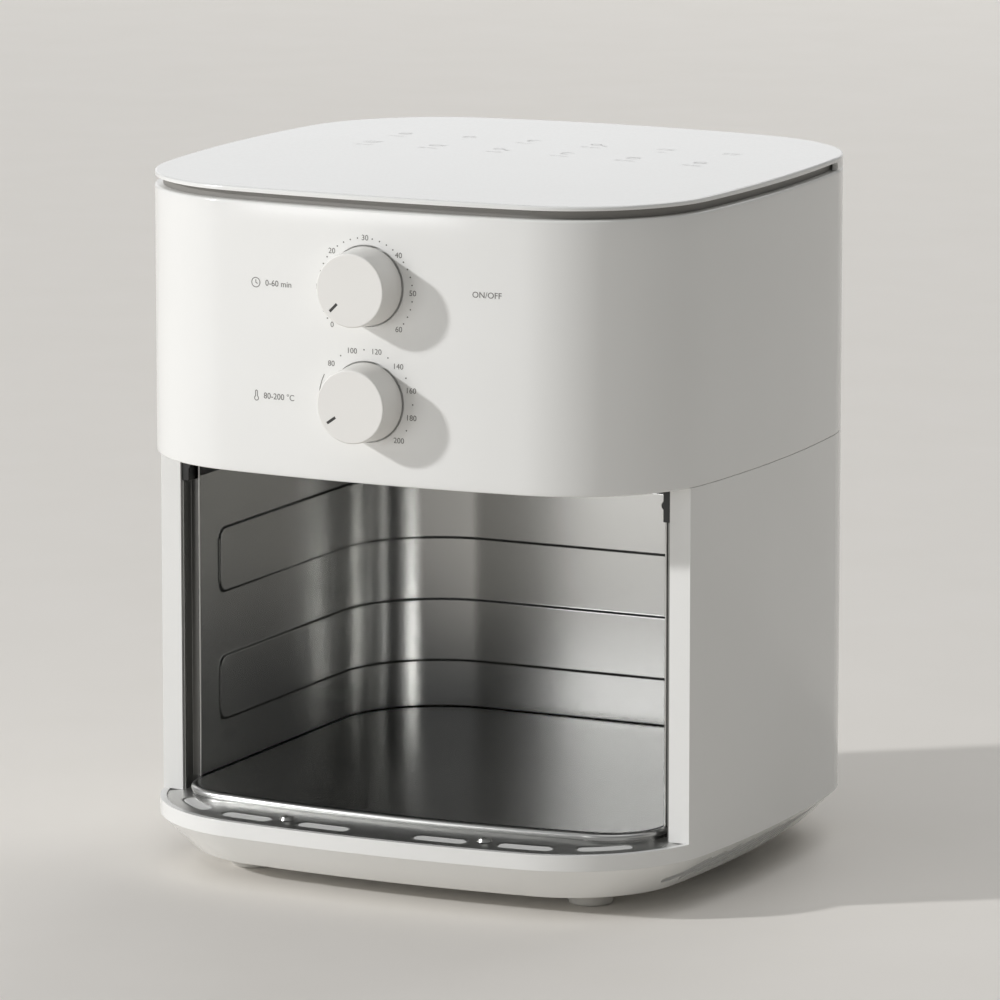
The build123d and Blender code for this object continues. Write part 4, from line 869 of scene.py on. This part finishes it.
def pressed_sill():
    """The steel sill inside the lip, dished towards each of its slots."""
    turns = [math.asin(x / (SIDE_RADIUS - SLOT_INSET)) for x in SLOT_PLACES] + [SLOT_CORNER_TURN]
    middles = [slot_line(FRONT_TURN + side * turn) for turn in turns for side in (-1, 1)]
    end = cut_turn(CUT_Y + WALL, WALL + SILL_FIT)
    stops = [math.pi + end, FRONT_TURN - BOW_TURN, FRONT_TURN + BOW_TURN, 2 * math.pi - end]
    corner_step = SILL_STEP / CORNER_RADIUS
    columns = spread(stops, [corner_step, SILL_STEP / SIDE_RADIUS, corner_step])
    slots_end = SLOT_INSET + SLOT_WIDTH + SLOT_MARGIN
    insets = spread([WALL + SILL_FIT, slots_end, SILL_REACH], [SLOT_STEP, SHELF_STEP])
    mesh = bmesh.new()
    rows = []
    holes = set()
    for inset in insets:
        row = []
        for turn in columns:
            place = slot_line(turn)
            aside = min(abs(place - middle) for middle in middles) - SLOT_LENGTH / 2
            outside = math.hypot(max(aside, 0), inset - SLOT_INSET) - SLOT_WIDTH / 2
            near = min(1.0, max(0.0, 1 - outside / SLOT_MARGIN))
            level = sill_level(inset) - SLOT_DIP * near * near
            row.append(mesh.verts.new((*outline_point(turn, inset), level)))
            if outside < 0:
                holes.add(row[-1])
        rows.append(row)
    for row, after in zip(rows, rows[1:]):
        for at in range(len(columns) - 1):
            corners = (row[at], row[at + 1], after[at + 1], after[at])
            if not holes.intersection(corners):
                mesh.faces.new(corners)
    bmesh.ops.delete(mesh, geom=[v for v in mesh.verts if not v.link_faces], context="VERTS")
    piece = sheet_piece("pressed_sill", mesh, SILL_STEEL, SILL_SHEET)
    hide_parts("sill_plate")


def rim_path(inset):
    """The floor pan's front edge, drawn in by inset, from the left channel to the right one."""
    half = BAY_HALF + SHEET - inset
    corner = FLOOR_CORNER - inset
    start = half - corner
    reach = SIDE_RADIUS - FLOOR_INSET - inset
    bowed = spread([-start, start], [RIM_STEP])
    front = [Vector((x, MID_Y + END_GAP - math.sqrt(reach ** 2 - x ** 2))) for x in bowed]
    middle = front[-1] + Vector((0, corner))
    turned = [math.radians(angle) for angle in range(RIM_STEP_DEGREES - 90, 1, RIM_STEP_DEGREES)]
    right = [middle + Vector((math.cos(turn), math.sin(turn))) * corner for turn in turned]
    right.append(Vector((half, BAY_FRONT_Y)))
    left = [Vector((-point.x, point.y)) for point in reversed(right)]
    return left + front + right


def floor_rim():
    """The rolled lower edge of the floor pan, which stands a little proud above the sill."""
    mesh = bmesh.new()
    middle_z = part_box("cavity_floor")[1].z - RIM_BELOW - RIM_ROLL
    places = rim_path(RIM_SUNK)
    rings = []
    for at, place in enumerate(places):
        along = (places[min(at + 1, len(places) - 1)] - places[max(at - 1, 0)]).normalized()
        aside = Vector((along.y, -along.x, 0)) * RIM_ROLL
        upward = Vector((0, 0, RIM_ROLL))
        centre = Vector((*place, middle_z))
        turns = [2 * math.pi * step / THIN_SIDES for step in range(THIN_SIDES)]
        rings.append([mesh.verts.new(centre + aside * math.cos(t) + upward * math.sin(t)) for t in turns])
    skin(mesh, rings, closed=True)
    for ring in (rings[0], rings[-1]):
        mesh.faces.new(ring)
    finished("floor_rim", mesh, SILL_STEEL)


def front_at(x):
    """Where the bowed front lies at a place across it."""
    wide = abs(x)
    if wide > SIDE_RADIUS * math.cos(END_TURN):
        return MID_Y - CORNER_Y - math.sqrt(CORNER_RADIUS ** 2 - (wide - CORNER_X) ** 2)
    return MID_Y + END_GAP - math.sqrt(SIDE_RADIUS ** 2 - wide ** 2)


def lid_at(x, y):
    """The height of the lid's crown."""
    reach = math.hypot(HALF_WIDTH, HALF_DEPTH)
    ball = (reach ** 2 + LID_CROWN ** 2) / (2 * LID_CROWN)
    return LID_Z - ball + math.sqrt(ball ** 2 - x ** 2 - (y - MID_Y) ** 2)


def lettering(ink, words, x, z, height):
    """Adds upright letters, centred on a place, to a flat drawing."""
    curve = bpy.data.curves.new("lettering", "FONT")
    curve.body = words
    curve.size = height / CAP_SHARE
    curve.align_x = "CENTER"
    curve.align_y = "CENTER"
    curve.resolution_u = LETTER_STEPS
    text = linked("lettering", curve)
    data = evaluated_mesh(text)
    bpy.data.objects.remove(text)
    data.transform(Matrix.Translation((x, z, 0)))
    ink.from_mesh(data)
    bpy.data.meshes.remove(data)


def arc_band(ink, x, z, radius, width, begin, end):
    """Adds part of a ring, between two angles in degrees, to a flat drawing."""
    count = max(ARC_LEAST_STEPS, math.ceil(abs(end - begin) / ARC_STEP_DEGREES))
    rows = []
    for step in range(count + 1):
        turn = math.radians(begin + (end - begin) * step / count)
        way = Vector((math.cos(turn), math.sin(turn), 0))
        inner = Vector((x, z, 0)) + way * (radius - width / 2)
        rows.append([ink.verts.new(point) for point in (inner, inner + way * width)])
    for (a, b), (c, d) in zip(rows, rows[1:]):
        ink.faces.new((a, b, d, c))


def bar(ink, x_from, z_from, x_to, z_to, width):
    """Adds a straight bar to a flat drawing."""
    begin = Vector((x_from, z_from, 0))
    end = Vector((x_to, z_to, 0))
    aside = Vector((z_from - z_to, x_to - x_from, 0)).normalized() * width / 2
    corners = [begin + aside, begin - aside, end - aside, end + aside]
    ink.faces.new([ink.verts.new(corner) for corner in corners])


def printed(name, ink, material, onto, thick=INK_THICK):
    """Gives a flat drawing the thickness of ink and lays it on a surface."""
    bmesh.ops.remove_doubles(ink, verts=ink.verts, dist=MERGE)
    for face in ink.faces:
        face.normal_update()
        if face.normal.z < 0:
            face.normal_flip()
    bmesh.ops.solidify(ink, geom=ink.faces[:], thickness=-thick)
    for vertex in ink.verts:
        vertex.co = onto(*vertex.co)
    finished(name, ink, material)


def onto_front(x, z, rise):
    """Lays a drawing's point on the bowed front panel."""
    return Vector((x, front_at(x) - INK_LIFT - rise, z))


def onto_lid(x, y, rise):
    """Lays a drawing's point on the lid."""
    return Vector((x, y, lid_at(x, y) + LID_INK_LIFT + rise))


def dial_numbers(ink, middle_z, radius, first_turn, step, numbers):
    """Adds the numbers round a dial."""
    for place, number in enumerate(numbers):
        turn = math.radians(first_turn + place * step)
        x = DIAL_SHIFT + radius * math.cos(turn)
        lettering(ink, str(number), x, middle_z + radius * math.sin(turn), DIGIT_HEIGHT)


def front_print():
    """Dial numbers and plain unit labels on the front panel."""
    ink = bmesh.new()
    dial_numbers(ink, TIMER_Z - TIMER_DIAL_DROP, TIMER_REACH, TIMER_FIRST, TIMER_STEP, TIMER_NUMBERS)
    dial_numbers(ink, HEAT_Z, HEAT_REACH, HEAT_FIRST, HEAT_STEP, HEAT_NUMBERS)
    arc_band(ink, DIAL_SHIFT, HEAT_Z, HEAT_REACH, LABEL_LINE, *OFF_ARC)
    clock_z = TIMER_Z - CLOCK_DROP
    arc_band(ink, SIGN_X, clock_z, CLOCK_RADIUS, LABEL_LINE, 0, 360)
    hand = CLOCK_RADIUS / 20
    bar(ink, SIGN_X, clock_z + 12 * hand, SIGN_X, clock_z - 1.5 * hand, LABEL_LINE)
    bar(ink, SIGN_X - hand, clock_z, SIGN_X + 9 * hand, clock_z - 5 * hand, LABEL_LINE)
    lettering(ink, "0-60 min", LABEL_X, clock_z, LABEL_HEIGHT)
    gauge_z = HEAT_Z - GAUGE_DROP
    arc_band(ink, SIGN_X, gauge_z - BULB_DROP, BULB_RADIUS, LABEL_LINE, 120, 420)
    arc_band(ink, SIGN_X, gauge_z + STEM_RISE, STEM_RADIUS, LABEL_LINE, 0, 180)
    for side in (-1, 1):
        stem_x = SIGN_X + side * STEM_RADIUS
        bar(ink, stem_x, gauge_z + STEM_RISE, stem_x, gauge_z - STEM_DROP, LABEL_LINE)
    lettering(ink, "80-200 °C", LABEL_X, gauge_z, LABEL_HEIGHT)
    lettering(ink, "ON/OFF", LAMP_LABEL_X, TIMER_Z - LAMP_LABEL_DROP, LABEL_HEIGHT)
    printed("front_print", ink, INK, onto_front)


def food_sign(ink, sign, x, y):
    """Adds a food sign, given by its arcs and bars, to the lid's drawing."""
    half = SIGN_SIZE / 2
    arcs, bars = sign
    for across, up, radius, begin, end in arcs:
        arc_band(ink, x + across * half, y + up * half, radius * half, SIGN_LINE, begin, end)
    for x_from, y_from, x_to, y_to in bars:
        bar(ink, x + x_from * half, y + y_from * half, x + x_to * half, y + y_to * half, SIGN_LINE)


def lid_print():
    """Two rows of faint signs on the lid, each with a plain time below it."""
    ink = bmesh.new()
    for y, signs in zip(SIGN_ROWS, (FOOD_SIGNS, FOOD_SIGNS[::-1])):
        for number, (sign, minutes) in enumerate(zip(signs, SIGN_MINUTES)):
            x = SIGN_FIRST_X + number * SIGN_PITCH
            food_sign(ink, sign, x, MID_Y + y + SIGN_SIZE / 2)
            lettering(ink, f"{minutes} min", x, MID_Y + y - SIGN_SIZE / 2, DIGIT_HEIGHT)
    printed("lid_print", ink, PALE_INK, onto_lid, LID_INK_THICK)


def named_tree(name, sizes):
    """A geometry tree with a named input for each size, and those inputs."""
    tree = bpy.data.node_groups.new(name, "GeometryNodeTree")
    tree.interface.new_socket("Geometry", in_out="INPUT", socket_type="NodeSocketGeometry")
    for label, value in sizes.items():
        kind = "NodeSocketInt" if isinstance(value, int) else "NodeSocketFloat"
        tree.interface.new_socket(label, in_out="INPUT", socket_type=kind).default_value = value
    tree.interface.new_socket("Geometry", in_out="OUTPUT", socket_type="NodeSocketGeometry")
    return tree, put(tree, "NodeGroupInput").outputs


def grown(name, tree, sizes, places=((0, 0, 0),)):
    """Runs a geometry tree on the given points and keeps the result as a plain mesh."""
    data = bpy.data.meshes.new(name)
    data.from_pydata(places, [], [])
    piece = linked(name, data)
    modifier = piece.modifiers.new(tree.name, "NODES")
    modifier.node_group = tree
    for item in tree.interface.items_tree:
        if item.name in sizes:
            modifier[item.identifier] = sizes[item.name]
    made_plain(piece)
    return piece


def set_down(tree, points, shape, material, turned=(0, 0, 0)):
    """Ends a geometry tree: a real copy of a shape on each point, with its material."""
    copies = put(tree, "GeometryNodeInstanceOnPoints", {
        "Points": points, "Instance": shape.outputs[0], "Rotation": turned})
    real = put(tree, "GeometryNodeRealizeInstances", {"Geometry": copies.outputs[0]})
    coated = put(tree, "GeometryNodeSetMaterial", {"Geometry": real.outputs[0], "Material": material})
    put(tree, "NodeGroupOutput", {"Geometry": coated.outputs[0]})


def maths(tree, operation, *values):
    """The result of one operation on the given values."""
    return put(tree, "ShaderNodeMath", dict(enumerate(values)), operation=operation).outputs[0]


def dial_dot_tree(material):
    """Dots on an arc, with a gap wherever a number stands."""
    tree, sizes = named_tree("dial_dots", {
        "Count": 1, "Number every": 1, "Reach": 0.0, "First angle": 0.0, "Step angle": 0.0,
        "Dot radius": DOT_RADIUS, "Ink thickness": INK_THICK})
    index = put(tree, "GeometryNodeInputIndex").outputs[0]
    angle = maths(tree, "MULTIPLY_ADD", index, sizes["Step angle"], sizes["First angle"])
    way = put(tree, "ShaderNodeCombineXYZ", {
        "X": maths(tree, "COSINE", angle), "Z": maths(tree, "SINE", angle)})
    place = put(tree, "ShaderNodeVectorMath", {
        0: way.outputs[0], "Scale": sizes["Reach"]}, operation="SCALE")
    points = put(tree, "GeometryNodePoints", {"Count": sizes["Count"], "Position": place.outputs[0]})
    numbered = maths(tree, "LESS_THAN", maths(tree, "MODULO", index, sizes["Number every"]), 0.5)
    free = put(tree, "GeometryNodeDeleteGeometry", {
        "Geometry": points.outputs[0], "Selection": numbered}, domain="POINT")
    dot = put(tree, "GeometryNodeMeshCylinder", {
        "Vertices": THIN_SIDES, "Radius": sizes["Dot radius"], "Depth": sizes["Ink thickness"]})
    set_down(tree, free.outputs[0], dot, material, (math.pi / 2, 0, 0))
    return tree


def dial_dots():
    """The dots between the numbers of both dials."""
    tree = dial_dot_tree(INK)
    timer_z = TIMER_Z - TIMER_DIAL_DROP
    for name, middle, reach, first, step, numbers, dots in (
            ("timer_dots", timer_z, TIMER_REACH, TIMER_FIRST, TIMER_STEP, TIMER_NUMBERS, TIMER_DOTS),
            ("temperature_dots", HEAT_Z, HEAT_REACH, HEAT_FIRST, HEAT_STEP, HEAT_NUMBERS, HEAT_DOTS)):
        piece = grown(name, tree, {
            "Count": dots * (len(numbers) - 1) + 1, "Number every": dots, "Reach": reach,
            "First angle": math.radians(first), "Step angle": math.radians(step / dots)})
        for vertex in piece.data.vertices:
            x, depth, z = vertex.co
            vertex.co = onto_front(x + DIAL_SHIFT, z + middle, INK_THICK / 2 - depth)
        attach(piece, BODY)


def screw_tree(material):
    """Pan-head screws with a cross recess, one on each point."""
    tree, sizes = named_tree("pan_head_screws", {
        "Head radius": SCREW_RADIUS, "Top radius": SCREW_TOP, "Head height": SCREW_HEIGHT,
        "Recess width": RECESS_WIDTH, "Recess reach": RECESS_REACH, "Recess depth": SCREW_HEIGHT})
    head = put(tree, "GeometryNodeMeshCone", {
        "Vertices": SCREW_SIDES, "Radius Top": sizes["Top radius"],
        "Radius Bottom": sizes["Head radius"], "Depth": sizes["Head height"]})
    long_size = put(tree, "ShaderNodeCombineXYZ", {
        "X": sizes["Recess reach"], "Y": sizes["Recess width"], "Z": sizes["Recess depth"]})
    slot = put(tree, "GeometryNodeMeshCube", {"Size": long_size.outputs[0]})
    lift = put(tree, "ShaderNodeCombineXYZ", {"Z": sizes["Head height"]})
    recessed = put(tree, "GeometryNodeMeshBoolean", {"Mesh 1": head.outputs[0]}, operation="DIFFERENCE")
    for turn in (math.pi / 4, -math.pi / 4):
        arm = put(tree, "GeometryNodeTransform", {
            "Geometry": slot.outputs[0], "Translation": lift.outputs[0], "Rotation": (0, 0, turn)})
        tree.links.new(arm.outputs[0], recessed.inputs["Mesh 2"])
    set_down(tree, sizes["Geometry"], recessed, material)
    return tree


def sill_screws():
    """The two screws in the sill plate."""
    tree = screw_tree(FINISHES["screw_steel"])
    low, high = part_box("sill_screws")
    reach = high.x - SCREW_RADIUS
    middle_y = (low.y + high.y) / 2
    seat = sill_level(SCREW_INSET)
    piece = grown("sill_screw_heads", tree, {}, ((-reach, middle_y, seat), (reach, middle_y, seat)))
    piece.data.shade_smooth()
    piece.data.set_sharp_from_angle(angle=SCREW_SHARP)
    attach(piece, BODY)
    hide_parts("sill_screws")


def dress_nodes():
    """Gives every node of the model the finish of its slot, or one of its own."""
    own = {"timer_pointer": POINTER_INK, "temperature_pointer": POINTER_INK, "cavity_floor": FLOOR_STEEL}
    for name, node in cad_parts.items():
        finish = own.get(name) or FINISHES[node.data.materials[0].name]
        node.data.materials.clear()
        node.data.materials.append(finish)


def aimed(name, data, place, target):
    """Places a lamp or the camera and points it at a target."""
    thing = linked(name, data)
    thing.location = place
    thing.rotation_euler = (Vector(target) - Vector(place)).to_track_quat("-Z", "Y").to_euler()
    return thing


def direction(turn, rise):
    """A unit direction from the object: turn to the right of the front, rise above the floor, in degrees."""
    turn, rise = math.radians(turn), math.radians(rise)
    return Vector((math.sin(turn) * math.cos(rise), -math.cos(turn) * math.cos(rise), math.sin(rise)))


def soft_box(name, turn, rise, reach, width, height, watts, colour):
    """A rectangular studio lamp."""
    data = bpy.data.lights.new(name, "AREA")
    data.shape = "RECTANGLE"
    data.size = width
    data.size_y = height
    data.energy = watts
    data.color = srgb(colour)[:3]
    middle = Vector((0, 0, (LOWER_Z + RIM_Z) / 2))
    aimed(name, data, middle + direction(turn, rise) * reach, middle)


def studio():
    """A pale floor, a surround that lights dimly but looks pale, and the lamps."""
    world = bpy.data.worlds.new("studio_surround")
    world.use_nodes = True
    tree = world.node_tree
    tree.nodes.clear()
    seen = put(tree, "ShaderNodeLightPath").outputs["Is Camera Ray"]
    level = put(tree, "ShaderNodeMapRange", {
        "Value": seen, "To Min": SURROUND_LIGHT, "To Max": SURROUND_SEEN})
    glow = put(tree, "ShaderNodeBackground", {"Color": srgb(SURROUND_COLOUR), "Strength": level.outputs[0]})
    put(tree, "ShaderNodeOutputWorld", {"Surface": glow.outputs[0]})
    bpy.context.scene.world = world
    for name, settings in LAMPS.items():
        soft_box(name, *settings)
    mesh = bmesh.new()
    bmesh.ops.create_circle(mesh, cap_ends=True, segments=FINE_SIDES, radius=FLOOR_RADIUS)
    floor = placed("floor", mesh)
    matt = moulded_plastic("floor_pale_matt", "F0ECE6", "ECE8E1", 0.6, 6 * MM, 0.02 * MM, 0.2)
    floor.data.materials.append(matt)


def camera():
    """The camera at the photograph's viewing angle."""
    data = bpy.data.cameras.new("camera")
    data.sensor_width = SENSOR
    data.lens = SENSOR * FOCAL_SHARE
    to_the_right = direction(CAMERA_TURN + 90, 0)
    target = Vector((0, MID_Y, CAMERA_AIM_Z)) + to_the_right * CAMERA_AIM_RIGHT
    away = direction(CAMERA_TURN, CAMERA_RISE)
    bpy.context.scene.camera = aimed("camera", data, target + away * CAMERA_REACH, target)


camera()
studio()
dress_nodes()
upper_shell()
lower_shell()
slitted_base()
pressed_liner()
pressed_sill()
floor_rim()
channel_feet()
catch_tails()
for side_name in ("left", "right"):
    softened(f"{side_name}_side_channel", CHANNEL_STEEL_PAINTED_SHADE)
    softened(f"{side_name}_drawer_catch", FINISHES["black_plastic"])
front_print()
lid_print()
dial_dots()
sill_screws()

bpy.context.scene.view_settings.view_transform = "Standard"
